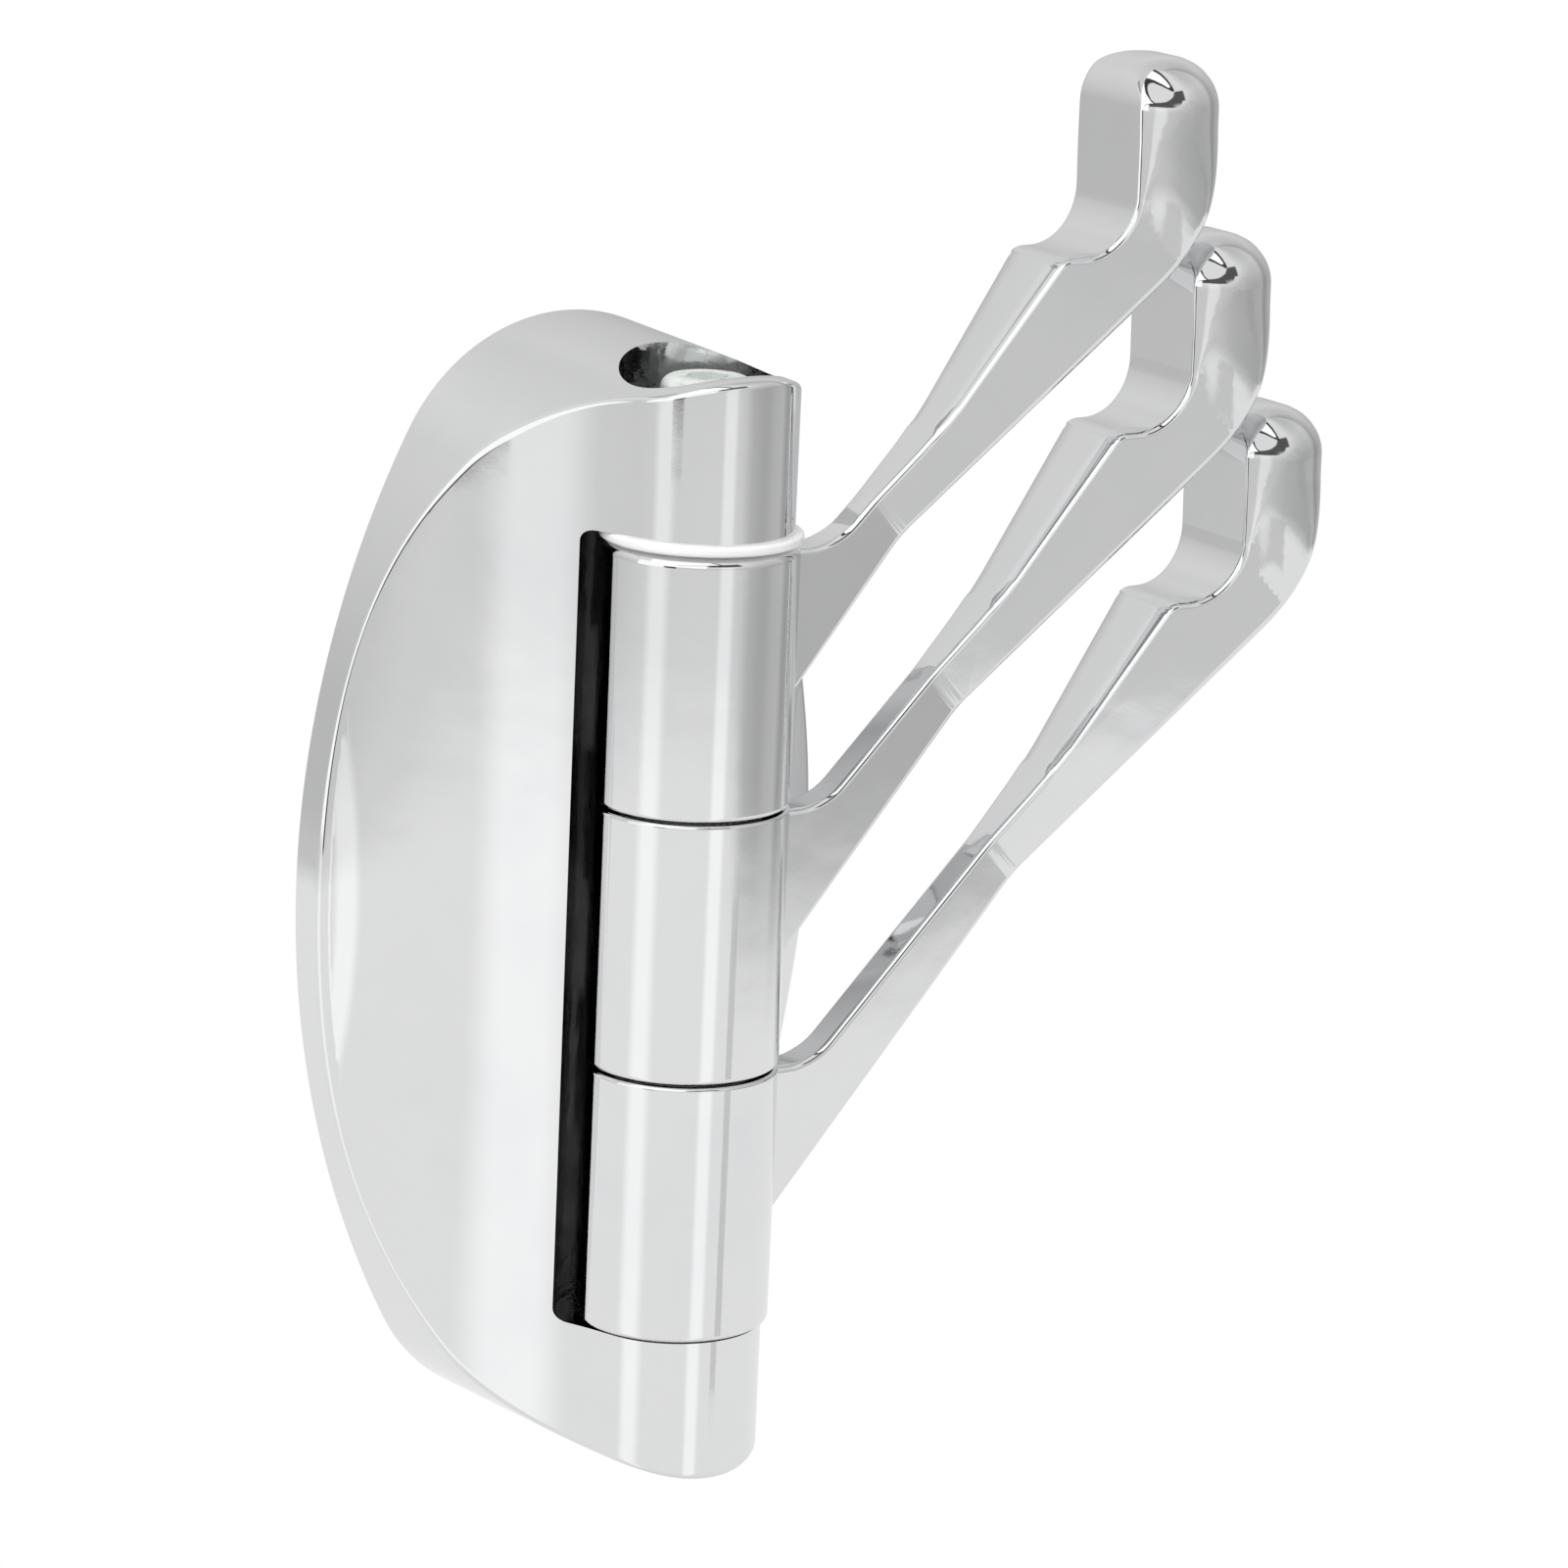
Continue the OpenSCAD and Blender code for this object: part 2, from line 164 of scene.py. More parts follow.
def rod(name, x, y, low, high, r, steps=96, turn=0.0, edge=0.0):
    """Upright round or hexagonal cutter, with an optional radius on its rims."""
    bm = bmesh.new()
    made = bmesh.ops.create_cone(bm, cap_ends=True, segments=steps, radius1=r, radius2=r,
                                 depth=high - low)
    bmesh.ops.rotate(bm, verts=made["verts"], matrix=Matrix.Rotation(turn, 3, "Z"))
    bmesh.ops.translate(bm, verts=made["verts"], vec=(x, y, (low + high) / 2))
    if edge:
        rims = [e for e in bm.edges if abs(e.verts[0].co.z - e.verts[1].co.z) < 1e-4]
        bmesh.ops.bevel(bm, geom=rims, offset=edge, segments=6, profile=0.5, affect="EDGES",
                        material=-1)
    return as_object(name, bm)


def block(name, low, high, edge=0.0):
    """Square cutter between two corners, with an optional radius on its edges."""
    bm = bmesh.new()
    made = bmesh.ops.create_cube(bm, size=1)
    low, high = Vector(low), Vector(high)
    bmesh.ops.scale(bm, verts=made["verts"], vec=high - low)
    bmesh.ops.translate(bm, verts=made["verts"], vec=(low + high) / 2)
    if edge:
        bmesh.ops.bevel(bm, geom=bm.edges[:], offset=edge, segments=4, profile=0.5,
                        affect="EDGES", material=-1)
    return as_object(name, bm)


def reopened(made):
    """Takes an object back into a bmesh, to go on with its shape."""
    bm = bmesh.new()
    bm.from_mesh(made.data)
    bpy.data.objects.remove(made)
    return bm


def hexagon_r(flats):
    """Radius at the corners of a hexagon, from its width across the flats."""
    return flats / 2 / math.cos(math.pi / 6)


def next_ring(bm, last, place):
    """Draws a closed ring of points out by one more ring and puts its points in place."""
    count = len(last)
    edges = [bm.edges.get((last[i], last[(i + 1) % count])) for i in range(count)]
    drawn = bmesh.ops.extrude_edge_only(bm, edges=edges)
    fresh = {g for g in drawn["geom"] if isinstance(g, bmesh.types.BMVert)}
    made = [next(e.other_vert(p) for e in p.link_edges if e.other_vert(p) in fresh)
            for p in last]
    for i, p in enumerate(made):
        p.co = place(i)
    return made


def crease_r(x, z):
    """Radius of the polished crease: widest above the flanks, and softer along the sides."""
    near_nose = max(0.0, 1 - abs(x) / 10)
    midway = max(0.0, min(1.0, (18 - z) / 16, (z + 30) / 16))
    return 0.5 + 0.5 * math.exp(-((abs(x) - 12.5) / 3) ** 2) + 0.15 * near_nose + 0.5 * midway


def casting_skin():
    """Outer shape: the oval outline is drawn out from the wall, rounded over and closed."""
    bm = bmesh.new()
    ring = oval_wire(bm, OVAL_A, OVAL_B, OVAL_END_R, 0.0, 132, 40)
    bm.faces.new(ring)
    count = len(ring)
    outline = [p.co.copy() for p in ring]
    facing = []
    for i, p in enumerate(outline):
        along = outline[(i + 1) % count] - outline[i - 1]
        n = Vector((along.z, 0, -along.x)).normalized()
        facing.append(n if n.dot(p) > 0 else -n)

    # The edge on the wall is broken
    for p, n in zip(ring, facing):
        p.co -= n * WALL_EDGE
    ring = next_ring(bm, ring, lambda i: outline[i] - Vector((0, WALL_EDGE, 0)))

    # Crease between the falling faces and the front: rounded by hand polishing
    turns = 7
    shoulder = []
    for p, n in zip(outline, facing):
        depth, n_front = front_of(p.x, p.z)
        up = math.copysign(1, p.z) if abs(p.z) > 1e-6 else 0
        dish = DISH * math.exp(-((abs(p.x) - DISH_X) / DISH_W) ** 2) if p.z > 0 else 0.0
        fall = math.tan(FALL) + dish / depth
        corner = Vector((p.x, -depth, p.z - up * depth * fall))
        n_side = Vector((n.x, -abs(n.z) * fall, n.z)).normalized()
        r = crease_r(p.x, p.z)
        cosine = n_side.dot(n_front)
        centre = corner - (n_side + n_front) * (r / (1 + cosine))
        sweep = math.acos(max(-1, min(1, cosine)))
        shoulder.append([
            centre + r * (n_side * math.sin((1 - k / turns) * sweep)
                          + n_front * math.sin(k / turns * sweep)) / math.sin(sweep)
            for k in range(turns + 1)])
    for k in range(turns + 1):
        ring = next_ring(bm, ring, lambda i: shoulder[i][k])

    # The front is closed with upright strips, cut across where the rim thickens, and every point
    # of them lies exactly on the flanks and the nose
    for p in ring:
        p.co.y = -front_of(p.co.x, p.co.z)[0]
    upper = sorted((p for p in ring if p.co.z > 1e-5), key=lambda p: p.co.x)
    lower = sorted((p for p in ring if p.co.z < -1e-5), key=lambda p: p.co.x)
    behind = set(bm.faces)
    bm.faces.new(list(reversed(ring)))
    for a, b in zip(upper, lower):
        bmesh.ops.connect_verts(bm, verts=[a, b])
    for k in range(-STRIP_COUNT, STRIP_COUNT + 1):
        front = [f for f in bm.faces if f not in behind]
        bits = {e for f in front for e in f.edges} | {v for f in front for v in f.verts}
        bmesh.ops.bisect_plane(bm, geom=front + list(bits), dist=1e-4,
                               plane_co=(0, 0, k * STRIP_STEP), plane_no=(0, 0, 1))
    for p in {v for f in bm.faces if f not in behind for v in f.verts}:
        p.co.y = -front_of(p.co.x, p.co.z)[0]
    bmesh.ops.recalc_face_normals(bm, faces=bm.faces)
    return as_object("body", bm)


def hollow_cutter():
    """Room in the back: an oval pocket that leaves a wall under the flanks, and a rib in it."""
    bm = bmesh.new()
    ring = oval_wire(bm, OVAL_A - WALL, OVAL_B - WALL, OVAL_END_R - WALL, 1.0, 40, 16)
    face = bm.faces.new(ring)
    made = bmesh.ops.extrude_face_region(bm, geom=[face])
    bmesh.ops.translate(bm, verts=[g for g in made["geom"] if isinstance(g, bmesh.types.BMVert)],
                        vec=(0, -HOLLOW_DEPTH - 1.0, 0))
    bmesh.ops.recalc_face_normals(bm, faces=bm.faces)
    pocket = as_object("pocket", bm)
    combine(pocket, block("ends", (-30, -HOLLOW_DEPTH - 4, -HOLLOW_H / 2),
                          (30, 4, HOLLOW_H / 2), 0.8), "INTERSECT")
    for s in (-1, 1):
        combine(pocket, rod("flank", s * FLANK_X, -FLANK_Y, -CLEAR, CLEAR, FLANK_R + WALL, 240),
                "DIFFERENCE")
    combine(pocket, block("rib", (-RIB_W / 2, -RIB_OUT, RIB_LOW), (RIB_W / 2, -0.1, CLEAR)),
            "DIFFERENCE")
    return pocket


def near(a, b, slack=0.06):
    """Whether two sizes are the same but for a little slack."""
    return abs(a - b) < slack


def break_edges(body, chosen, width):
    """Rounds the edges that the test picks out of those that turn by more than 35 degrees."""
    bm = bmesh.new()
    bm.from_mesh(body.data)
    bmesh.ops.remove_doubles(bm, verts=bm.verts, dist=1e-4)
    sharp = [e for e in bm.edges if len(e.link_faces) == 2
             and e.calc_face_angle(0) > math.radians(35) and chosen(e)]
    bmesh.ops.bevel(bm, geom=sharp, offset=width, segments=3, profile=0.5, affect="EDGES",
                    clamp_overlap=True, loop_slide=True, material=-1)
    bm.to_mesh(body.data)
    bm.free()


def finish_piece(made, materials, sharp_at=40):
    """Shades the piece smooth and scales it from millimetres to metres."""
    bm = bmesh.new()
    bm.from_mesh(made.data)
    bmesh.ops.remove_doubles(bm, verts=bm.verts, dist=2e-4)
    bmesh.ops.scale(bm, vec=(MM, MM, MM), verts=bm.verts)
    bm.to_mesh(made.data)
    bm.free()
    made.data.shade_smooth()
    made.data.set_sharp_from_angle(angle=math.radians(sharp_at))
    for m in materials:
        made.data.materials.append(m)
    weigh = made.modifiers.new("normals", "WEIGHTED_NORMAL")
    weigh.keep_sharp = True
    return made


casting = casting_skin()
combine(casting, rod("opening", 0, AXIS_Y, OPENING_LOW, OPENING_TOP, OPENING_R, 180, 0.01, 0.9),
        "DIFFERENCE")
combine(casting, rod("recess", 0, RECESS_Y, RECESS_FLOOR, CLEAR, RECESS_D / 2, 120, 0.01),
        "DIFFERENCE")
combine(casting, rod("bolt_hole", 0, AXIS_Y, -CLEAR, CLEAR, BOLT_HOLE_R, 48), "DIFFERENCE")
combine(casting, rod("nut_pocket", 0, AXIS_Y, -CLEAR, NUT_TOP, hexagon_r(NUT_POCKET), 6),
        "DIFFERENCE")
combine(casting, rod("set_hole", 0, SET_SCREW_Y, -CLEAR, SET_HOLE_TOP, SET_HOLE_R, 48),
        "DIFFERENCE")
combine(casting, hollow_cutter(), "DIFFERENCE")


def mouth(e):
    """Edges of the opening and the recess that can be seen and touched."""
    a, b = e.verts[0].co, e.verts[1].co
    mid = (a + b) / 2
    on_opening = near(math.hypot(mid.x, mid.y - AXIS_Y), OPENING_R, 0.1) or \
        near(mid.z, OPENING_TOP) or near(mid.z, OPENING_LOW)
    inside = math.hypot(mid.x, mid.y - AXIS_Y) < NOSE_R - 0.3
    on_recess = near(math.hypot(mid.x, mid.y - RECESS_Y), RECESS_D / 2) and mid.z > 40
    return (on_opening and not inside and mid.y < -10) or on_recess


break_edges(casting, mouth, MOUTH_EDGE)


def shading(name):
    """New material with its Principled shader and a short way to add and join nodes."""
    made = bpy.data.materials.new(name)
    made.use_nodes = True
    tree = made.node_tree
    shader = next(n for n in tree.nodes if n.type == "BSDF_PRINCIPLED")

    def add(kind, **values):
        node = tree.nodes.new(kind)
        for key, value in values.items():
            if key in node.inputs:
                node.inputs[key].default_value = value
            else:
                setattr(node, key, value)
        return node

    def join(a, b):
        tree.links.new(a, b)

    return made, shader, add, join


def polish_marks():
    """Group: slow waves that a buffing wheel leaves, fine grain, and faint wiped smears."""
    group = bpy.data.node_groups.new("polish_marks", "ShaderNodeTree")
    ports = group.interface
    ports.new_socket("Vector", in_out="INPUT", socket_type="NodeSocketVector")
    for label, value in (("Wave Scale", 230.0), ("Grain Scale", 2600.0), ("Smear Scale", 70.0)):
        port = ports.new_socket(label, in_out="INPUT", socket_type="NodeSocketFloat")
        port.default_value = value
    for label in ("Waves", "Grain", "Smears"):
        ports.new_socket(label, in_out="OUTPUT", socket_type="NodeSocketFloat")
    start = group.nodes.new("NodeGroupInput")
    end = group.nodes.new("NodeGroupOutput")
    for label, detail, rough in (("Wave", 1.5, 0.45), ("Grain", 3.0, 0.6), ("Smear", 4.0, 0.65)):
        noise = group.nodes.new("ShaderNodeTexNoise")
        noise.inputs["Detail"].default_value = detail
        noise.inputs["Roughness"].default_value = rough
        group.links.new(start.outputs["Vector"], noise.inputs["Vector"])
        group.links.new(start.outputs[label + " Scale"], noise.inputs["Scale"])
        if label == "Smear":
            spread = group.nodes.new("ShaderNodeMapRange")
            spread.inputs["From Min"].default_value = 0.45
            spread.inputs["From Max"].default_value = 0.75
            group.links.new(noise.outputs["Fac"], spread.inputs["Value"])
            group.links.new(spread.outputs["Result"], end.inputs["Smears"])
        else:
            group.links.new(noise.outputs["Fac"],
                            end.inputs["Waves" if label == "Wave" else "Grain"])
    return group


MARKS = polish_marks()


def marked(name, bright, dull, gloss_from, smooth, worn, **scales):
    """Material with two close colours and two roughnesses, mixed by the polish marks."""
    made, shader, add, join = shading(name)
    place = add("ShaderNodeTexCoord")
    marks = add("ShaderNodeGroup", node_tree=MARKS)
    for key, value in scales.items():
        marks.inputs[key.replace("_", " ").title()].default_value = value
    join(place.outputs["Object"], marks.inputs["Vector"])
    colour = add("ShaderNodeMix", data_type="RGBA")
    for socket in colour.inputs:
        if socket.type == "RGBA":
            socket.default_value = (*(bright if socket.name == "A" else dull), 1)
    join(marks.outputs["Smears"], colour.inputs["Factor"])
    join(next(o for o in colour.outputs if o.type == "RGBA"), shader.inputs["Base Color"])
    gloss = add("ShaderNodeMapRange")
    gloss.inputs["To Min"].default_value = smooth
    gloss.inputs["To Max"].default_value = worn
    join(marks.outputs[gloss_from], gloss.inputs["Value"])
    join(gloss.outputs["Result"], shader.inputs["Roughness"])

    def bump(mark, height, under=None):
        """Lets one of the marks stand out by a height in metres, on top of another one."""
        relief = add("ShaderNodeBump")
        relief.inputs["Strength"].default_value = 1
        relief.inputs["Distance"].default_value = height
        join(marks.outputs[mark], relief.inputs["Height"])
        if under:
            join(under, relief.inputs["Normal"])
        return relief.outputs["Normal"]

    return made, shader, join, bump


def plated(name, bright, dull, smooth, smeared, wave_height, grain_height, metallic=1.0,
           **scales):
    """Plated or bare metal, with slow waves under a fine grain."""
    made, shader, join, bump = marked(name, bright, dull, "Smears", smooth, smeared, **scales)
    join(bump("Grain", grain_height, bump("Waves", wave_height)), shader.inputs["Normal"])
    shader.inputs["Metallic"].default_value = metallic
    return made


CHROME = plated("chrome_plate", (0.80, 0.803, 0.81), (0.765, 0.77, 0.78), 0.035, 0.085,
                0.000012, 0.0000006)
BORED = plated("bored_recess", (0.84, 0.84, 0.845), (0.52, 0.52, 0.525), 0.07, 0.26,
               0.00008, 0.00001, wave_scale=520, grain_scale=1500, smear_scale=380)
AS_CAST = plated("cast_inside", (0.47, 0.47, 0.475), (0.33, 0.33, 0.335), 0.38, 0.55,
                 0.00004, 0.00002, wave_scale=500, grain_scale=1800, smear_scale=160)
# Painted shade: the inside of the opening beside the barrels is made a near-black metal, because
# the deep slot lies in shade
OPENING_PAINTED_SHADE = plated("opening_painted_shade", (0.20, 0.195, 0.195), (0.10, 0.098, 0.098), 0.10, 0.34,
                     0.00005, 0.00001, wave_scale=500)

CAST, SLOT_PAINTED_SHADE, TURNED = 1, 2, 3
finish_piece(casting, [CHROME, AS_CAST, OPENING_PAINTED_SHADE, BORED])
for face in casting.data.polygons:
    x, y, z = face.center / MM
    nx, ny, nz = face.normal
    if y > -HOLLOW_DEPTH - 0.1 and (ny > 0.5 or x * nx + z * nz < -0.3) and y < -0.05:
        face.material_index = CAST
    # Faces inside the opening take the painted shade
    elif math.hypot(x, y - AXIS_Y) < OPENING_R + 0.02 and x * nx + (y - AXIS_Y) * ny < -4 \
            and OPENING_LOW < z < OPENING_TOP:
        face.material_index = SLOT_PAINTED_SHADE
    elif math.hypot(x, y - RECESS_Y) < RECESS_D / 2 + 0.02 and z > RECESS_FLOOR - 0.05 \
            and (x * nx + (y - RECESS_Y) * ny < -4 or z < RECESS_FLOOR + 0.1):
        face.material_index = TURNED
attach(casting, "base")
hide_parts("body_casting")

# ---------------------------------------------------------------- Swinging arms
# Three zinc castings, polished and chrome plated, one for each height. Each has a barrel that
# turns on the pivot, a thin strip that widens into a thick hook end, a seat and a domed knob.
BARREL_R, BARREL_H = 7.5, 20.1
BARREL_BORE, POCKET_R, POCKET_D = 2.05, 5.8, 0.5
PITCH = 20.35
BARREL_MID = 19.5
SWING = math.radians(-3)
REACH, RISE, REACH_STEP, RISE_STEP = 29.0, 30.3, 6.0, 6.5
STRIP_T, HOOK_T = 3.0, 9.2
ROOT_UP, ROOT_OUT, FOOT_H, FOOT_X = 9.0, 11.1, 16.4, 3.75
SEAT_W, SEAT_R, HEAD_R, HEAD_UP = 6.2, 4.6, 4.05, 10.9
BACK_R, BACK_UP, NECK_RUN, NECK_FALL = 16.2, 9.3, 9.5, 13.0
UNDER = math.radians(41.2)
FLARE_FROM, FLARE_TO = 23.3, 9.3
BULB = 0.36
# Ease of the two bends where an arm starts to widen and reaches its full width
NARROW_EASE, WIDE_EASE = 0.8, 2.6
# Roundings of a hook end, each an inset in the side view and a depth across it: the least one,
# what the sloping near side and the knob's dome add, the back, the underside and the neck
EDGE, SLOPE_IN, SLOPE_DEEP = 0.5, 3.2, 0.5
DOME_IN, DOME_DEEP, DOME_LESS = 0.15, 2.4, 1.1
BACK_IN, BACK_DEEP, BACK_IN_LESS, BACK_DEEP_LESS = 3.85, 2.3, 3.05, 1.5
UNDER_EDGE, NECK_DEEP = 0.8, 0.55


def turned(bm, profile, steps=128, centre=(0, 0, 0)):
    """Turns a closed profile of (radius, height) round the upright through the centre."""
    points = [bm.verts.new((r, 0, z)) for r, z in profile]
    edges = [bm.edges.new((points[i - 1], points[i])) for i in range(len(points))]
    bmesh.ops.spin(bm, geom=points + edges, cent=(0, 0, 0), axis=(0, 0, 1),
                   angle=math.tau, steps=steps, use_merge=True)
    bmesh.ops.remove_doubles(bm, verts=bm.verts, dist=1e-5)
    bmesh.ops.translate(bm, verts=bm.verts, vec=centre)
    bmesh.ops.recalc_face_normals(bm, faces=bm.faces)


def rounded(profile, radii, steps=6):
    """The same profile with a radius on the corners that have one."""
    made = []
    count = len(profile)
    for i, (p, r) in enumerate(zip(profile, radii)):
        p, q, n = Vector(p), Vector(profile[i - 1]), Vector(profile[(i + 1) % count])
        if not r:
            made.append(tuple(p))
            continue
        a, b = (q - p).normalized(), (n - p).normalized()
        half = a.angle(b) / 2
        centre = p + (a + b).normalized() * (r / math.sin(half))
        start, end = p + a * r / math.tan(half) - centre, p + b * r / math.tan(half) - centre
        sweep = start.angle(end)
        for k in range(steps + 1):
            t = k / steps
            made.append(tuple(centre + (start * math.sin((1 - t) * sweep)
                                        + end * math.sin(t * sweep)) / math.sin(sweep)))
    return made


def barrel(top_r, low_r):
    """Turned barrel with a bore, a washer pocket below, and rounded rims."""
    bm = bmesh.new()
    h = BARREL_H / 2
    profile = [(BARREL_BORE, POCKET_D - h), (POCKET_R, POCKET_D - h), (POCKET_R, -h),
               (BARREL_R, -h - 0.08), (BARREL_R, h), (BARREL_BORE, h)]
    turned(bm, rounded(profile, (0, 0, 0, low_r, top_r, 0)))
    return as_object("barrel", bm)


def soft(t):
    """Eases a share from 0 to 1 at both ends."""
    t = max(0.0, min(1.0, t))
    return t * t * (3 - 2 * t)


def widened(s):
    """Half thickness of an arm, s along it from the seat, with both bends eased."""
    low, high = STRIP_T / 2, HOOK_T / 2
    slope = (high - low) / (FLARE_TO + FLARE_FROM)
    h = min(high, max(low, low + slope * (s + FLARE_FROM)))
    for bend, ease, sign in ((-FLARE_FROM, NARROW_EASE, 1), (FLARE_TO, WIDE_EASE, -1)):
        if abs(s - bend) < ease:
            h += sign * slope * (ease - abs(s - bend)) ** 2 / (4 * ease)
    return h


def blade(reach, rise):
    """Side outline of an arm, drawn out to both sides with a rounding that changes round it."""
    bm = bmesh.new()
    flat = Vector((0, 1, 0))
    back_x = reach + SEAT_W + 2 * HEAD_R - BACK_R
    tip_x, tip_z = back_x + BACK_R * math.sin(UNDER), rise + BACK_UP - BACK_R * math.cos(UNDER)
    kink_w = FLARE_FROM / math.sqrt(2)
    kink_x = (reach + rise - 2 * kink_w - tip_z + tip_x * math.tan(UNDER)) / (1 + math.tan(UNDER))
    kink_z = tip_z - (tip_x - kink_x) * math.tan(UNDER)
    path = [bm.verts.new((FOOT_X, 0, ROOT_UP))]

    def line(x, z):
        tip = bmesh.ops.extrude_vert_indiv(bm, verts=[path[-1]])["verts"][0]
        tip.co = (x, 0, z)
        path.append(tip)
        return tip

    corners = [(line(ROOT_OUT, ROOT_UP), 2.2), (line(reach - NECK_RUN, rise - NECK_FALL), 2.5),
               (line(reach, rise), 0.9)]
    line(reach + SEAT_W - SEAT_R, rise)
    path += arc(bm, path[-1], (reach + SEAT_W - SEAT_R, 0, rise + SEAT_R), flat,
                -math.pi / 2, 14)
    line(reach + SEAT_W, rise + HEAD_UP - 2)
    line(reach + SEAT_W, rise + HEAD_UP)
    path += arc(bm, path[-1], (reach + SEAT_W + HEAD_R, 0, rise + HEAD_UP), flat, math.pi, 48)
    line(reach + SEAT_W + 2 * HEAD_R, rise + BACK_UP)
    path += arc(bm, path[-1], (back_x, 0, rise + BACK_UP), flat, math.pi / 2 - UNDER, 30)
    corners.append((line(kink_x, kink_z), 1.2))
    line(FOOT_X, ROOT_UP - FOOT_H)
    bm.edges.new((path[-1], path[0]))
    bm.faces.new(path)
    for point, size in corners:
        bmesh.ops.bevel(bm, geom=[point], offset=size, segments=7, profile=0.5,
                        affect="VERTICES", clamp_overlap=False, material=-1)
    side = bm.faces[:][0]
    ring = [corner.vert for corner in side.loops]
    bmesh.ops.delete(bm, geom=[side], context="FACES_ONLY")
    count = len(ring)
    outline = [p.co.copy() for p in ring]
    middle = Vector((reach + SEAT_W + HEAD_R, 0, rise + HEAD_UP))
    along = Vector((1, 0, 1)).normalized()
    seat = Vector((reach, 0, rise))
    inward = []
    for i, p in enumerate(outline):
        a = (p - outline[i - 1]).normalized()
        b = (outline[(i + 1) % count] - p).normalized()
        n = (Vector((a.z, 0, -a.x)) + Vector((b.z, 0, -b.x))).normalized()
        inward.append(n / max(0.5, n.dot(Vector((a.z, 0, -a.x)))))
    area = sum(outline[i - 1].x * outline[i].z - outline[i].x * outline[i - 1].z
               for i in range(count))
    if area > 0:
        inward = [-n for n in inward]

    def edge_at(p, side):
        """Inset and depth of the rounding at a point of the outline, on either side."""
        rel = p - middle
        along_edge = -rel.z if rel.x < 0 else 99
        if rel.z > 0:
            angle = math.degrees(math.atan2(rel.z, rel.x))
            along_edge = HEAD_R * math.radians(angle - 180)
        slope = 1 - soft((along_edge + 2.1) / 7.5) if side < 0 else 0
        if rel.z > 0:
            t = soft((172 - angle) / 42) if side < 0 else soft((138 - angle) / 60)
            fade = soft((100 - angle) / 100)
            return EDGE + SLOPE_IN * max(t, slope) + DOME_IN * fade, \
                EDGE + SLOPE_DEEP * max(t, slope) + DOME_DEEP * t - DOME_LESS * fade
        turn = math.degrees(math.atan2(rise + BACK_UP - p.z, p.x - back_x))
        if p.x > back_x + 6 and p.z > tip_z - 0.01 and rel.x > -1:
            t = soft((turn + 4) / 32)
            return BACK_IN - BACK_IN_LESS * t, BACK_DEEP - BACK_DEEP_LESS * t
        if p.x > kink_x + 1 and p.z < kink_z + (p.x - kink_x) + 2:
            return UNDER_EDGE, UNDER_EDGE
        if reach - NECK_RUN < p.x < reach and p.z < rise - 0.3:
            return EDGE, NECK_DEEP * widened((p - seat).dot(along))
        return EDGE + SLOPE_IN * slope, EDGE + SLOPE_DEEP * slope

    half = HOOK_T / 2
    turns = 8
    start = ring
    for side in (-1, 1):
        ring = start
        sizes = [edge_at(p, side) for p in outline]
        for k in range(turns + 1):
            phi = k / turns * math.pi / 2
            ring = next_ring(bm, ring, lambda i: outline[i]
                             + inward[i] * sizes[i][0] * (1 - math.cos(phi))
                             + Vector((0, side * (half - sizes[i][1] * (1 - math.sin(phi))), 0)))
        bm.faces.new(ring)
    bmesh.ops.recalc_face_normals(bm, faces=bm.faces)
    # Lines across the arm where it starts to widen and where it reaches its full width
    for bend, ease in ((-FLARE_FROM, NARROW_EASE), (FLARE_TO, WIDE_EASE)):
        for k in range(-3, 4):
            bmesh.ops.bisect_plane(bm, geom=bm.verts[:] + bm.edges[:] + bm.faces[:], dist=1e-5,
                                   plane_co=seat + along * (bend + ease * k / 3), plane_no=along)
    # The hook end swells like a bulb, so its flat sides are cut into small fields
    for normal, first, count in ((Vector((1, 0, 0)), middle.x - 4, 16),
                                 (Vector((0, 0, 1)), middle.z - 13, 34)):
        for k in range(count):
            flat_side = [f for f in bm.faces if abs(f.normal.y) > 0.99
                         and abs(f.calc_center_median().y) > 4
                         and (f.calc_center_median() - seat).dot(along) > FLARE_TO - WIDE_EASE]
            bits = {e for f in flat_side for e in f.edges}
            bits |= {v for f in flat_side for v in f.verts}
            bmesh.ops.bisect_plane(bm, geom=flat_side + list(bits), dist=1e-5,
                                   plane_co=normal * (first + k * 0.5), plane_no=normal)
    for p in bm.verts:
        if abs(p.co.y) > 1e-6:
            dx, dz = p.co.x - middle.x, p.co.z - middle.z
            away = (dx / (4.4 if dx < 0 else 5.0)) ** 2 + (dz / (14.0 if dz < 0 else 4.6)) ** 2
            more = widened((p.co - seat).dot(along)) - half \
                + BULB * max(0.0, 1 - away) ** 2 * min(1.0, abs(p.co.y) / half)
            p.co.y += more if p.co.y > 0 else -more
    bmesh.ops.remove_doubles(bm, verts=bm.verts, dist=1e-4)
    bmesh.ops.recalc_face_normals(bm, faces=bm.faces)
    return as_object("blade", bm)


for i, body in enumerate(("upper_arm", "middle_arm", "lower_arm")):
    bm = bmesh.new()
    for part in (barrel(0.9 if i == 0 else 0.28, 0.42),
                 blade(REACH + i * REACH_STEP, RISE + i * RISE_STEP)):
        bm.from_mesh(part.data)
        bpy.data.objects.remove(part)
    bmesh.ops.rotate(bm, verts=bm.verts, cent=(0, 0, 0), matrix=Matrix.Rotation(SWING, 3, "Z"))
    bmesh.ops.translate(bm, verts=bm.verts, vec=(0, AXIS_Y, BARREL_MID - i * PITCH))
    arm = finish_piece(as_object(body + "_casting", bm), [CHROME])
    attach(arm, body)
    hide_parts(("arm_upper", "arm_middle", "arm_lower")[i])

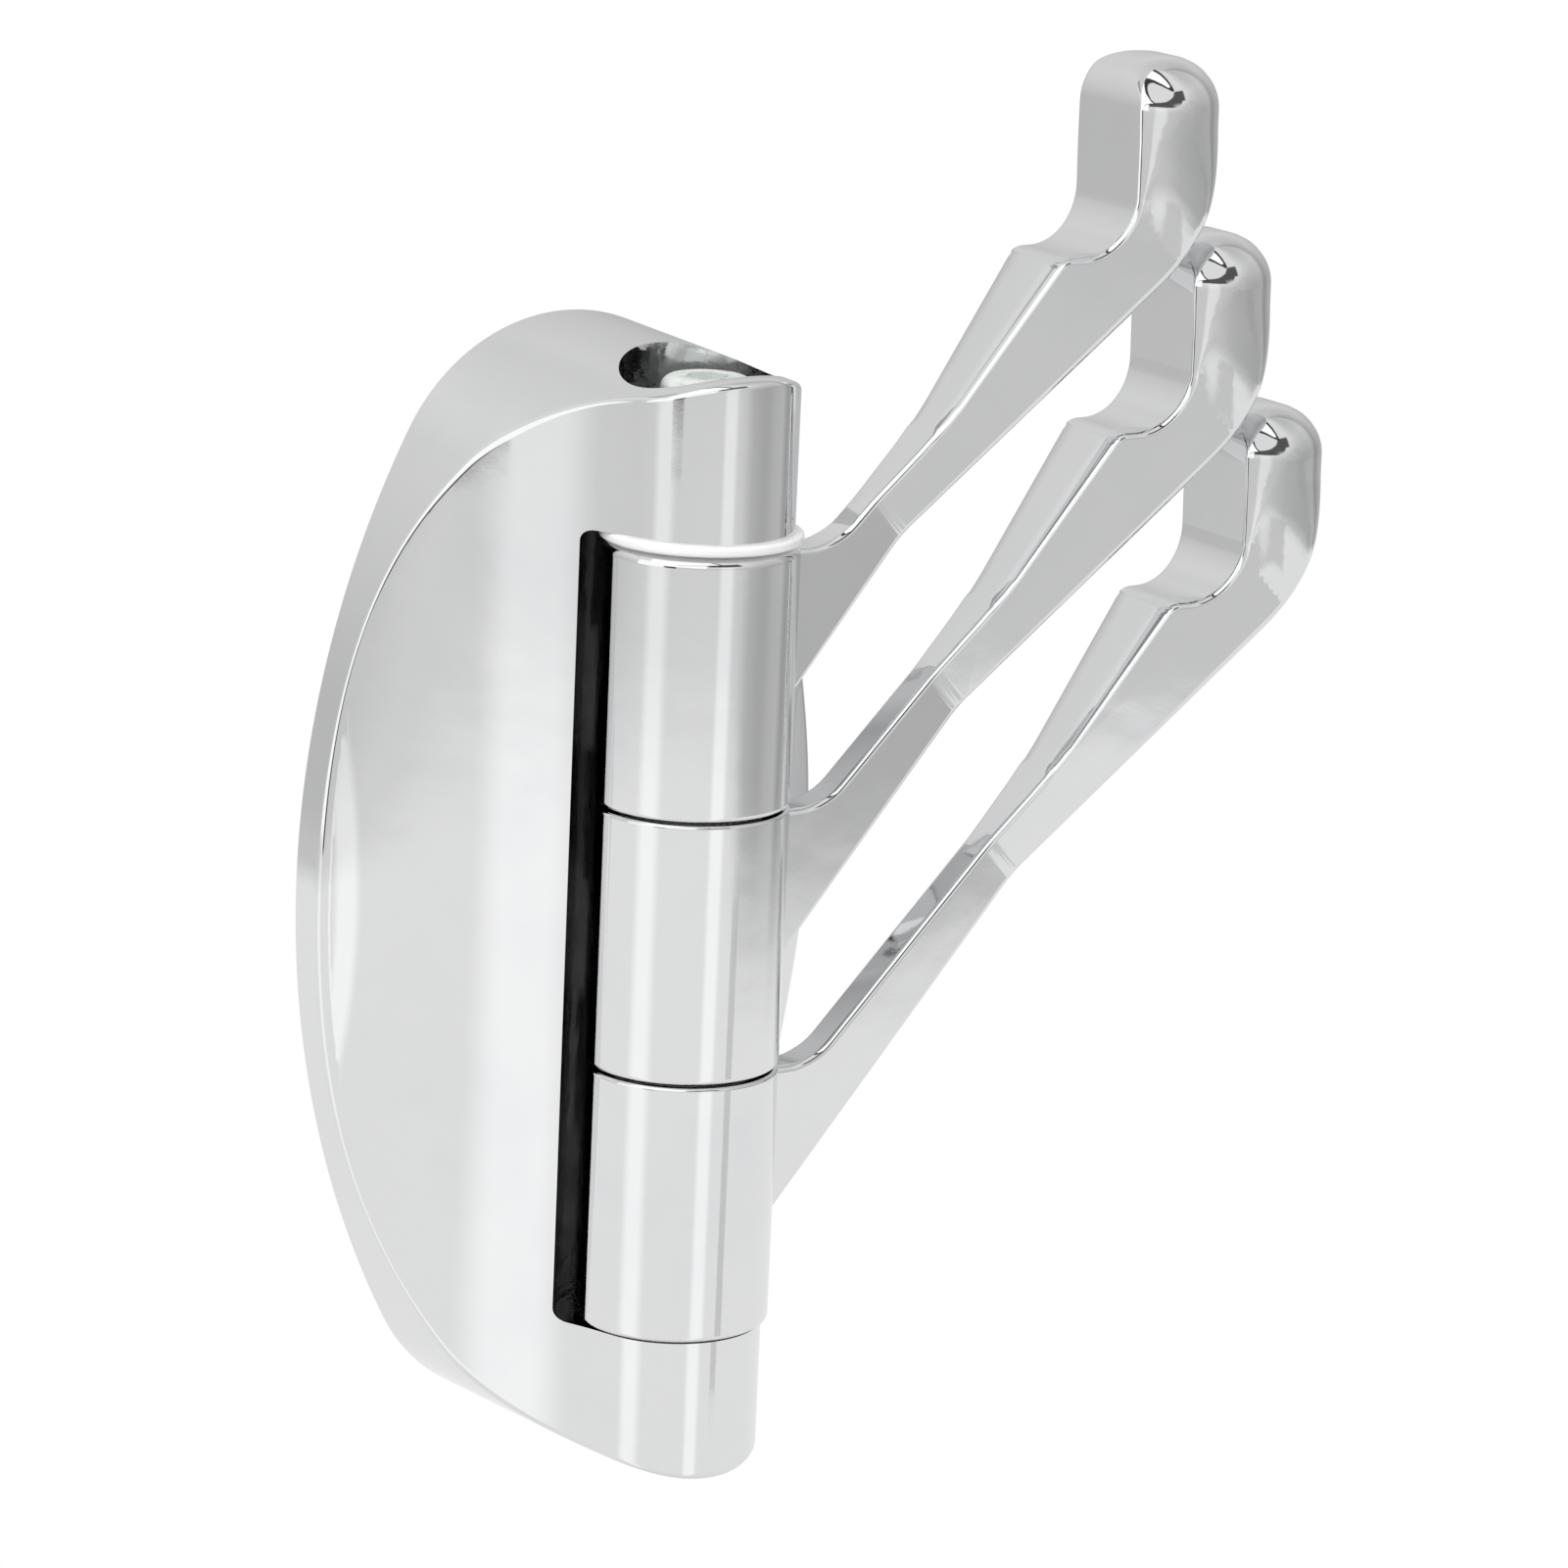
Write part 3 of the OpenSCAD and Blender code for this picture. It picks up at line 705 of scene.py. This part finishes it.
# ---------------------------------------------------------------- Pivot bolt
# One steel cap screw with a hexagon socket, zinc plated with a pale bloom. It drops in from the
# recess on top, passes through all three barrels and ends in the lock nut below.
BOLT_R, BOLT_LOW, HEAD_LOW, HEAD_TOP, SCREW_HEAD_R = 2.0, -42.0, 37.9, 41.9, 3.5
SOCKET_FLATS, SOCKET_DEEP = 3.0, 2.2
KNURL_LOW, KNURL_TOP, KNURL_IN = 38.3, 40.6, 0.97
CORE_R, CORE_TOP = 1.62, -29
THREAD_PITCH, THREAD_TURNS, THREAD_STEPS = 0.7, 16, 24
ZINC = plated("zinc_plate", (0.94, 0.97, 0.95), (0.76, 0.84, 0.78), 0.20, 0.42,
              0.00006, 0.00001, 0.6, wave_scale=800, grain_scale=3600, smear_scale=620)

bm = bmesh.new()
turned(bm, rounded([(0, BOLT_LOW), (CORE_R, BOLT_LOW), (CORE_R, CORE_TOP),
                    (BOLT_R, CORE_TOP + 0.6), (BOLT_R, HEAD_LOW), (SCREW_HEAD_R, HEAD_LOW),
                    (SCREW_HEAD_R, KNURL_LOW), (SCREW_HEAD_R, KNURL_TOP),
                    (SCREW_HEAD_R, HEAD_TOP), (0, HEAD_TOP)],
                   (0, 0.2, 0, 0, 0, 0.1, 0, 0, 0.95, 0)), 120)
# Every third line of the head's side stands back, as a coarse knurl
for v in bm.verts:
    if KNURL_LOW - 0.1 < v.co.z < KNURL_TOP + 0.1 and v.co.xy.length > SCREW_HEAD_R - 0.05:
        step = round(math.degrees(math.atan2(v.co.y, v.co.x)) / 3)
        if step % 3 == 0:
            v.co.x, v.co.y = v.co.x * KNURL_IN, v.co.y * KNURL_IN
bolt = as_object("bolt", bm)
combine(bolt, rod("socket", 0, 0, HEAD_TOP - SOCKET_DEEP, HEAD_TOP + 1, hexagon_r(SOCKET_FLATS),
                  6, 0.2), "DIFFERENCE")
bm = reopened(bolt)
socket_rim = [e for e in bm.edges if abs(e.verts[0].co.z - HEAD_TOP) < 0.01
              and abs(e.verts[1].co.z - HEAD_TOP) < 0.01
              and max(v.co.xy.length for v in e.verts) < 1.8]
bmesh.ops.bevel(bm, geom=socket_rim, offset=0.16, segments=2, profile=0.5, affect="EDGES",
                clamp_overlap=True, material=-1)
# The thread is one tooth swept up round the core, closed at both ends
turns = bmesh.new()
tooth = [turns.verts.new((r, 0, BOLT_LOW + 0.3 + z)) for r, z in
         ((1.5, -0.04), (1.6, 0), (BOLT_R, 0.26), (BOLT_R, 0.34), (1.6, 0.6), (1.5, 0.64))]
first = turns.faces.new(tooth)
swept = bmesh.ops.spin(turns, geom=tooth + list(first.edges), cent=(0, 0, 0), axis=(0, 0, 1),
                       dvec=(0, 0, THREAD_PITCH / THREAD_STEPS),
                       angle=math.tau * THREAD_TURNS, steps=THREAD_STEPS * THREAD_TURNS)
final = [g for g in swept["geom_last"] if isinstance(g, bmesh.types.BMVert)]
lift = THREAD_PITCH * THREAD_TURNS
turns.faces.new([min(final, key=lambda v: (v.co - p.co - Vector((0, 0, lift))).length)
                 for p in tooth])
bmesh.ops.recalc_face_normals(turns, faces=turns.faces)
thread = bpy.data.meshes.new("thread")
turns.to_mesh(thread)
turns.free()
bm.from_mesh(thread)
bpy.data.meshes.remove(thread)
bmesh.ops.translate(bm, verts=bm.verts, vec=(0, AXIS_Y, 0))
bolt = finish_piece(as_object("pivot_screw", bm), [ZINC], 30)
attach(bolt, "base")
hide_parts("pivot_bolt")

# ---------------------------------------------------------------- Washers
# Under the screw head lie a flat steel washer and a split spring washer. A white nylon ring
# carries the end play above the upper barrel, and thin nylon rings lie between the barrels.
WASHER_ROOM = 2.05
FLAT_TOP, FLAT_R = 36.9, 4.5
WHITE_LOW, WHITE_R = 29.6, 7.7


def ring(name, low, high, r, hole, edge, material, slot, node):
    """Turned flat ring on the pivot with rounded rims."""
    bm = bmesh.new()
    turned(bm, rounded([(hole, low), (r, low), (r, high), (hole, high)],
                       (edge * 0.5, edge, edge, edge * 0.5)), 128, (0, AXIS_Y, 0))
    made = finish_piece(as_object(name, bm), [material], 50)
    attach(made, "base")
    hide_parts(node)


def moulded(name, bright, dull, rough, worn, height):
    """Moulded plastic: faint flow marks and a soft skin."""
    made, shader, join, bump = marked(name, bright, dull, "Waves", rough, worn,
                                      wave_scale=420, grain_scale=5200, smear_scale=260)
    join(bump("Grain", height), shader.inputs["Normal"])
    return made


NYLON = moulded("white_nylon", (0.88, 0.88, 0.88), (0.83, 0.83, 0.825), 0.22, 0.36, 0.000003)
SPRING = plated("spring_steel", (0.30, 0.30, 0.31), (0.22, 0.22, 0.23), 0.30, 0.45,
                0.00002, 0.00001, wave_scale=800, smear_scale=500)

ring("flat_steel_washer", RECESS_FLOOR, FLAT_TOP, FLAT_R, WASHER_ROOM, 0.15, ZINC,
     "zinc_plate", "flat_washer")
ring("white_washer", WHITE_LOW, OPENING_TOP, WHITE_R, BOLT_R, 0.3, NYLON,
     "white_nylon", "top_washer")

SPLIT = math.radians(14.5)
bm = bmesh.new()
profile = rounded([(WASHER_ROOM, FLAT_TOP), (SCREW_HEAD_R, FLAT_TOP), (SCREW_HEAD_R, HEAD_LOW),
                   (WASHER_ROOM, HEAD_LOW)], (0.12, 0.12, 0.12, 0.12), 3)
points = [bm.verts.new((r, 0, z)) for r, z in profile]
start = bm.faces.new(points)
bmesh.ops.rotate(bm, verts=points, matrix=Matrix.Rotation(SPLIT / 2 - math.pi / 2, 3, "Z"))
spun = bmesh.ops.spin(bm, geom=points + list(start.edges), cent=(0, 0, 0), axis=(0, 0, 1),
                      angle=math.tau - SPLIT, steps=72)
last = [g for g in spun["geom_last"] if isinstance(g, bmesh.types.BMVert)]
order = sorted(last, key=lambda v: min(range(len(points)), key=lambda i: (
    math.hypot(points[i].co.x, points[i].co.y) - v.co.xy.length) ** 2
    + (points[i].co.z - v.co.z) ** 2))
bm.faces.new(order)
bmesh.ops.recalc_face_normals(bm, faces=bm.faces)
bmesh.ops.translate(bm, verts=bm.verts, vec=(0, AXIS_Y, 0))
split_washer = finish_piece(as_object("split_washer", bm), [SPRING], 40)
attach(split_washer, "base")
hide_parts("spring_washer")

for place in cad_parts["thin_washers"].material_slots:
    place.material = NYLON

# ---------------------------------------------------------------- Lock nut
# A zinc plated steel lock nut in a hexagonal pocket below, with a turned collar that holds a
# blue nylon ring. The ring grips the thread, so the arms keep their friction.
NUT_LOW, NUT_ACROSS = -41.0, 7.0
INSERT_TOP, INSERT_R = -39.4, 2.8
BLUE = moulded("blue_nylon", (0.07, 0.16, 0.50), (0.055, 0.13, 0.42), 0.30, 0.42, 0.000006)

nut = rod("nut", 0, 0, NUT_LOW, NUT_TOP, hexagon_r(NUT_ACROSS), 6)
bm = bmesh.new()
turned(bm, rounded([(0, NUT_LOW), (3.0, NUT_LOW), (3.3, -39.9), (3.35, -39.6), (4.06, -39.1),
                    (4.06, -36.25), (3.6, NUT_TOP), (0, NUT_TOP)],
                   (0, 0.35, 0.2, 0, 0, 0, 0, 0)), 96)
combine(nut, as_object("turned", bm), "INTERSECT")
combine(nut, rod("thread_hole", 0, 0, -50, -30, 2.02, 48), "DIFFERENCE")
combine(nut, rod("ring_seat", 0, 0, -50, INSERT_TOP, INSERT_R, 48), "DIFFERENCE")
bm = reopened(nut)
bmesh.ops.translate(bm, verts=bm.verts, vec=(0, AXIS_Y, 0))
nut = finish_piece(as_object("locking_nut", bm), [ZINC], 25)
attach(nut, "base")
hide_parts("lock_nut")
ring("nylon_insert", NUT_LOW, INSERT_TOP, INSERT_R, BOLT_R, 0.2, BLUE,
     "blue_nylon", "nut_ring")

# ---------------------------------------------------------------- Wall bracket
# A pressed strip of zinc plated steel that two countersunk screws hold on the wall. Its bent
# upper tongue carries the rib of the casting, and its lower tab takes the point of the set screw.
PLATE_W, PLATE_TOP, PLATE_T, PLATE_ROUND = 26.0, 31.0, 2.0, 2.5
TONGUE_W, TONGUE_OUT, LIP_T, LIP_TOP, TAB_OUT = 12.0, 6.0, 1.5, 34.5, 7.0
SCREW_Z, SCREW_R, SINK_R = 20.0, 2.3, 4.2
GALVANISED = plated("bracket_steel", (0.62, 0.63, 0.645), (0.47, 0.48, 0.50), 0.26, 0.42,
                    0.00003, 0.00001, wave_scale=260, grain_scale=2200, smear_scale=150)

bm = reopened(block("plate", (-PLATE_W / 2, -PLATE_T, -PLATE_TOP), (PLATE_W / 2, 0, PLATE_TOP)))
corners = [e for e in bm.edges if abs(e.verts[0].co.y - e.verts[1].co.y) > 1]
bmesh.ops.bevel(bm, geom=corners, offset=PLATE_ROUND, segments=8, profile=0.5, affect="EDGES",
                clamp_overlap=True, material=-1)
rims = [e for e in bm.edges if e.calc_face_angle(0) > 1.2]
bmesh.ops.bevel(bm, geom=rims, offset=0.2, segments=2, profile=0.5, affect="EDGES",
                clamp_overlap=True, material=-1)
bracket = as_object("strip", bm)
for s in (-1, 1):
    for name, r_wall, r_room, deep in (("hole", SCREW_R, SCREW_R, 9),
                                       ("sink", 0.3, SINK_R + 0.2, 4.4)):
        bm = bmesh.new()
        made = bmesh.ops.create_cone(bm, cap_ends=True, segments=64, radius1=r_room,
                                     radius2=r_wall, depth=deep)
        bmesh.ops.rotate(bm, verts=made["verts"], matrix=Matrix.Rotation(-math.pi / 2, 3, "X"))
        bmesh.ops.translate(bm, verts=made["verts"], vec=(0, 0, s * SCREW_Z))
        combine(bracket, as_object(name, bm), "DIFFERENCE")


def bent(name, outline, width, bends):
    """Strip drawn as a side outline in (y, z), made as wide as the tongue, with round bends."""
    bm = bmesh.new()
    points = [bm.verts.new((-width / 2, y, z)) for y, z in outline]
    side = bm.faces.new(points)
    drawn = bmesh.ops.extrude_face_region(bm, geom=[side])
    bmesh.ops.translate(bm, vec=(width, 0, 0),
                        verts=[g for g in drawn["geom"] if isinstance(g, bmesh.types.BMVert)])
    bmesh.ops.recalc_face_normals(bm, faces=bm.faces)
    for (y, z), r in bends:
        line = [e for e in bm.edges
                if all(abs(v.co.y - y) < 1e-4 and abs(v.co.z - z) < 1e-4 for v in e.verts)]
        bmesh.ops.bevel(bm, geom=line, offset=r, segments=6, profile=0.5, affect="EDGES",
                        clamp_overlap=True, material=-1)
    rims = [e for e in bm.edges if e.calc_face_angle(0) > 1.2]
    bmesh.ops.bevel(bm, geom=rims, offset=0.15, segments=2, profile=0.5, affect="EDGES",
                    clamp_overlap=True, material=-1)
    return as_object(name, bm)


low, lip = PLATE_TOP - PLATE_T, LIP_T - TONGUE_OUT
tongue = bent("tongue", [(-0.3, low), (-0.3, PLATE_TOP), (lip, PLATE_TOP), (lip, LIP_TOP),
                         (-TONGUE_OUT, LIP_TOP), (-TONGUE_OUT, low)], TONGUE_W,
              [((-TONGUE_OUT, low), 1.4), ((lip, PLATE_TOP), 0.5)])
tab = bent("tab", [(-0.3, -PLATE_TOP), (-0.3, -low), (-TAB_OUT, -low), (-TAB_OUT, -PLATE_TOP)],
           TONGUE_W, [])
combine(tab, rod("point_hole", 0, SET_SCREW_Y, -40, -20, 1.22, 32), "DIFFERENCE")
for more in (tongue, tab):
    combine(bracket, more, "UNION")
bracket = finish_piece(bracket, [GALVANISED], 40)
bracket.name = "hanging_plate"
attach(bracket, "base")
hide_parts("wall_bracket")

# ---------------------------------------------------------------- Set screw
# A black oxide grub screw with a hexagon socket, driven up from below until its point stands in
# the tab of the bracket and locks the casting on the wall.
GRUB_R, GRUB_LOW, GRUB_SHOULDER, GRUB_TOP, POINT_R = 2.0, -42.51, -31.0, -29.5, 1.2
GRUB_CORE_R, GRUB_STEP, GRUB_KEY = 1.65, 0.35, 2
OXIDE = plated("black_steel", (0.055, 0.055, 0.06), (0.035, 0.035, 0.036), 0.30, 0.48,
               0.00002, 0.00001, wave_scale=900, smear_scale=500)

bm = bmesh.new()
crest = [(GRUB_CORE_R if k % 2 else GRUB_R, GRUB_LOW + GRUB_STEP + GRUB_STEP * k)
         for k in range(31)]
turned(bm, [(0, GRUB_LOW), (1.7, GRUB_LOW)] + crest
       + [(GRUB_CORE_R, GRUB_SHOULDER), (POINT_R, GRUB_SHOULDER + 0.15), (POINT_R, GRUB_TOP - 0.2),
          (POINT_R - 0.2, GRUB_TOP), (0, GRUB_TOP)], 48)
grub = as_object("grub", bm)
combine(grub, rod("key", 0, 0, GRUB_LOW - 1, GRUB_LOW + 2, hexagon_r(GRUB_KEY), 6), "DIFFERENCE")
bm = reopened(grub)
bmesh.ops.translate(bm, verts=bm.verts, vec=(0, SET_SCREW_Y, 0))
grub = finish_piece(as_object("grub_screw", bm), [OXIDE], 25)
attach(grub, "base")
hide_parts("set_screw")

# ---------------------------------------------------------------- Studio
# A plain pale floor far below, a white background, and a soft studio that only reflections and
# light see: a pale table low down, a greyer room, soft lights and dim patches at set azimuths and
# heights, and a lit rectangle with a dark surround overhead.
FLOOR_Z = -0.6
floor_mesh = bpy.data.meshes.new("floor")
bm = bmesh.new()
bmesh.ops.create_grid(bm, x_segments=1, y_segments=1, size=4)
bmesh.ops.translate(bm, verts=bm.verts, vec=(0, 0, FLOOR_Z))
bm.to_mesh(floor_mesh)
bm.free()
floor = bpy.data.objects.new("floor", floor_mesh)
bpy.context.scene.collection.objects.link(floor)
floor.visible_glossy = False
paint = bpy.data.materials.new("pale_floor")
paint.use_nodes = True
nodes, links = paint.node_tree.nodes, paint.node_tree.links
flat = nodes["Principled BSDF"]
flat.inputs["Base Color"].default_value = (0.86, 0.86, 0.86, 1)
flat.inputs["Roughness"].default_value = 0.8
glow = nodes.new("ShaderNodeEmission")
glow.inputs["Color"].default_value = (1, 1, 1, 1)
either = nodes.new("ShaderNodeMixShader")
seen = nodes.new("ShaderNodeLightPath")
links.new(seen.outputs["Is Camera Ray"], either.inputs[0])
links.new(flat.outputs[0], either.inputs[1])
links.new(glow.outputs[0], either.inputs[2])
links.new(either.outputs[0], nodes["Material Output"].inputs[0])
floor_mesh.materials.append(paint)

key = bpy.data.lights.new("overhead", "AREA")
key.shape, key.size, key.size_y, key.energy = "RECTANGLE", 0.8, 0.8, 6.0
key_lamp = bpy.data.objects.new("overhead", key)
bpy.context.scene.collection.objects.link(key_lamp)
key_lamp.location = (-0.35, -0.5, 0.9)
key_lamp.rotation_euler = (Vector((0, 0, 0)) - key_lamp.location).to_track_quat(
    "-Z", "Y").to_euler()
key_lamp.visible_glossy = False

world = bpy.data.worlds.new("studio")
bpy.context.scene.world = world
world.use_nodes = True
tree = world.node_tree
tree.nodes.clear()


def calc(operation, *inputs):
    """Math node of the studio, fed with numbers or with other nodes."""
    made = tree.nodes.new("ShaderNodeMath")
    made.operation = operation
    for i, value in enumerate(inputs):
        if isinstance(value, bpy.types.NodeSocket):
            tree.links.new(value, made.inputs[i])
        else:
            made.inputs[i].default_value = value
    return made.outputs[0]


def levels(driver, low, high, stops):
    """Grey levels along a driver that runs from low to high."""
    made = tree.nodes.new("ShaderNodeValToRGB")
    place = calc("DIVIDE", calc("SUBTRACT", driver, low), high - low)
    tree.links.new(place, made.inputs[0])
    ramp = made.color_ramp
    while len(ramp.elements) < len(stops):
        ramp.elements.new(1.0)
    for element, (where, _) in zip(ramp.elements, stops):
        element.position = (where - low) / (high - low)
    for element, (_, value) in zip(ramp.elements, stops):
        element.color = (value, value, value, 1)
    split_up = tree.nodes.new("ShaderNodeSeparateColor")
    tree.links.new(made.outputs[0], split_up.inputs[0])
    return split_up.outputs[0]


def between(driver, start, end, top=1.0, kind="LINEAR"):
    """Goes from 0 where the driver is at its start to the top where it is at its end."""
    made = tree.nodes.new("ShaderNodeMapRange")
    made.interpolation_type = kind
    made.inputs["From Min"].default_value = start
    made.inputs["From Max"].default_value = end
    made.inputs["To Max"].default_value = top
    tree.links.new(driver, made.inputs["Value"])
    return made.outputs["Result"]


def window(driver, middle, half, soften):
    """1 within half of the middle, and 0 beyond it by a soft edge."""
    off = calc("ABSOLUTE", calc("SUBTRACT", driver, middle))
    return between(off, half + soften, half, kind="SMOOTHSTEP")


def patch(round_at, high_at):
    """Mask of a patch: middle, half size and soft edge in azimuth and in height, in degrees."""
    return calc("MULTIPLY", window(azimuth, *round_at), window(height, *high_at))


def dimmed(light, mask, share):
    """Takes a share of the light away where the mask is 1."""
    return calc("MULTIPLY", light, calc("SUBTRACT", 1.0, calc("MULTIPLY", mask, share)))


way = tree.nodes.new("ShaderNodeTexCoord").outputs["Generated"]
parts = tree.nodes.new("ShaderNodeSeparateXYZ")
tree.links.new(way, parts.inputs[0])
across, inwards, up = parts.outputs
azimuth = calc("MULTIPLY", calc("ARCTAN2", across, calc("MULTIPLY", inwards, -1.0)),
               180 / math.pi)
height = calc("MULTIPLY", calc("ARCSINE", calc("MINIMUM", up, 1.0)), 180 / math.pi)
table = levels(height, -90, 10, ((-90, 0.80), (-40, 0.88), (-14, 0.90), (10, 0.90)))
room_round = levels(azimuth, -180, 180, (
    (-180, 0.58), (-150, 0.64), (-105, 0.74), (-60, 0.76), (-20, 0.77), (8, 0.75), (24, 0.65),
    (40, 0.56), (56, 0.52), (74, 0.56), (84, 0.38), (100, 0.52), (140, 0.58), (180, 0.58)))
room_height = levels(height, -20, 90, ((-20, 1.0), (-11, 1.0), (-8, 0.9), (0, 0.9), (13, 1.08),
                                       (22, 1.17), (35, 1.30), (60, 1.15), (90, 1.1)))
room = calc("MINIMUM", calc("MULTIPLY", room_round, room_height), 0.86)
room = dimmed(room, patch((37, 8, 16), (-11.5, 1.8, 3.5)), 0.16)
# The table's far edge lies lower on the right hand
right_hand = between(azimuth, 5, 30, 2.0)
rise = between(calc("ADD", height, right_hand), -14.4, -11.8, kind="SMOOTHSTEP")
total = calc("ADD", calc("MULTIPLY", room, rise),
             calc("MULTIPLY", table, calc("SUBTRACT", 1.0, rise)))
for round_at, high_at, share in (((24.5, 3, 2), (-17.2, 2.0, 0.6), 0.25),
                                 ((-4, 18, 6), (30, 9, 3), 0.88),
                                 ((-69, 6, 2), (0, 9.5, 1.5), 0.88)):
    total = dimmed(total, patch(round_at, high_at), share)
# Two faint narrow lamps, then the two tall soft lights on the left
lamps = calc("ADD", calc("MULTIPLY", window(azimuth, -84, 5, 13), 0.21),
             calc("MULTIPLY", window(azimuth, -3, 4, 7), 0.21))
total = calc("ADD", total, calc("MULTIPLY", lamps, window(height, -20, 30, 8)))
tall = calc("MAXIMUM", patch((-94, 15, 3), (9, 16, 3)), patch((-54, 26, 2), (23, 17, 2)))
total = calc("ADD", calc("MULTIPLY", total, calc("SUBTRACT", 1.0, tall)),
             calc("MULTIPLY", tall, 1.2))
flat_x = calc("DIVIDE", across, calc("MAXIMUM", up, 0.05))
flat_y = calc("DIVIDE", inwards, calc("MAXIMUM", up, 0.05))


def overhead(left, right, near_edge, far_edge):
    """Rectangle on the ceiling as seen from the object, between its four edges."""
    both = calc("MULTIPLY", window(flat_x, (left + right) / 2, (right - left) / 2, 0.01),
                window(flat_y, (near_edge + far_edge) / 2, (far_edge - near_edge) / 2, 0.01))
    return calc("MULTIPLY", both, calc("GREATER_THAN", up, 0.3))


total = dimmed(total, patch((-140, 10, 6), (48, 6, 4)), 0.5)
total = dimmed(total, overhead(-2.40, -0.12, -1.40, 0.26), 0.93)
total = calc("ADD", total, calc("MULTIPLY", overhead(-2.40, -0.20, -1.25, 0.26), 1.2))
soft_room = tree.nodes.new("ShaderNodeBackground")
tree.links.new(total, soft_room.inputs["Color"])
white = tree.nodes.new("ShaderNodeBackground")
white.inputs["Color"].default_value = (1, 1, 1, 1)
choose = tree.nodes.new("ShaderNodeMixShader")
paths = tree.nodes.new("ShaderNodeLightPath")
tree.links.new(paths.outputs["Is Camera Ray"], choose.inputs[0])
tree.links.new(soft_room.outputs[0], choose.inputs[1])
tree.links.new(white.outputs[0], choose.inputs[2])
sky = tree.nodes.new("ShaderNodeOutputWorld")
tree.links.new(choose.outputs[0], sky.inputs[0])

bpy.context.scene.view_settings.view_transform = "Standard"
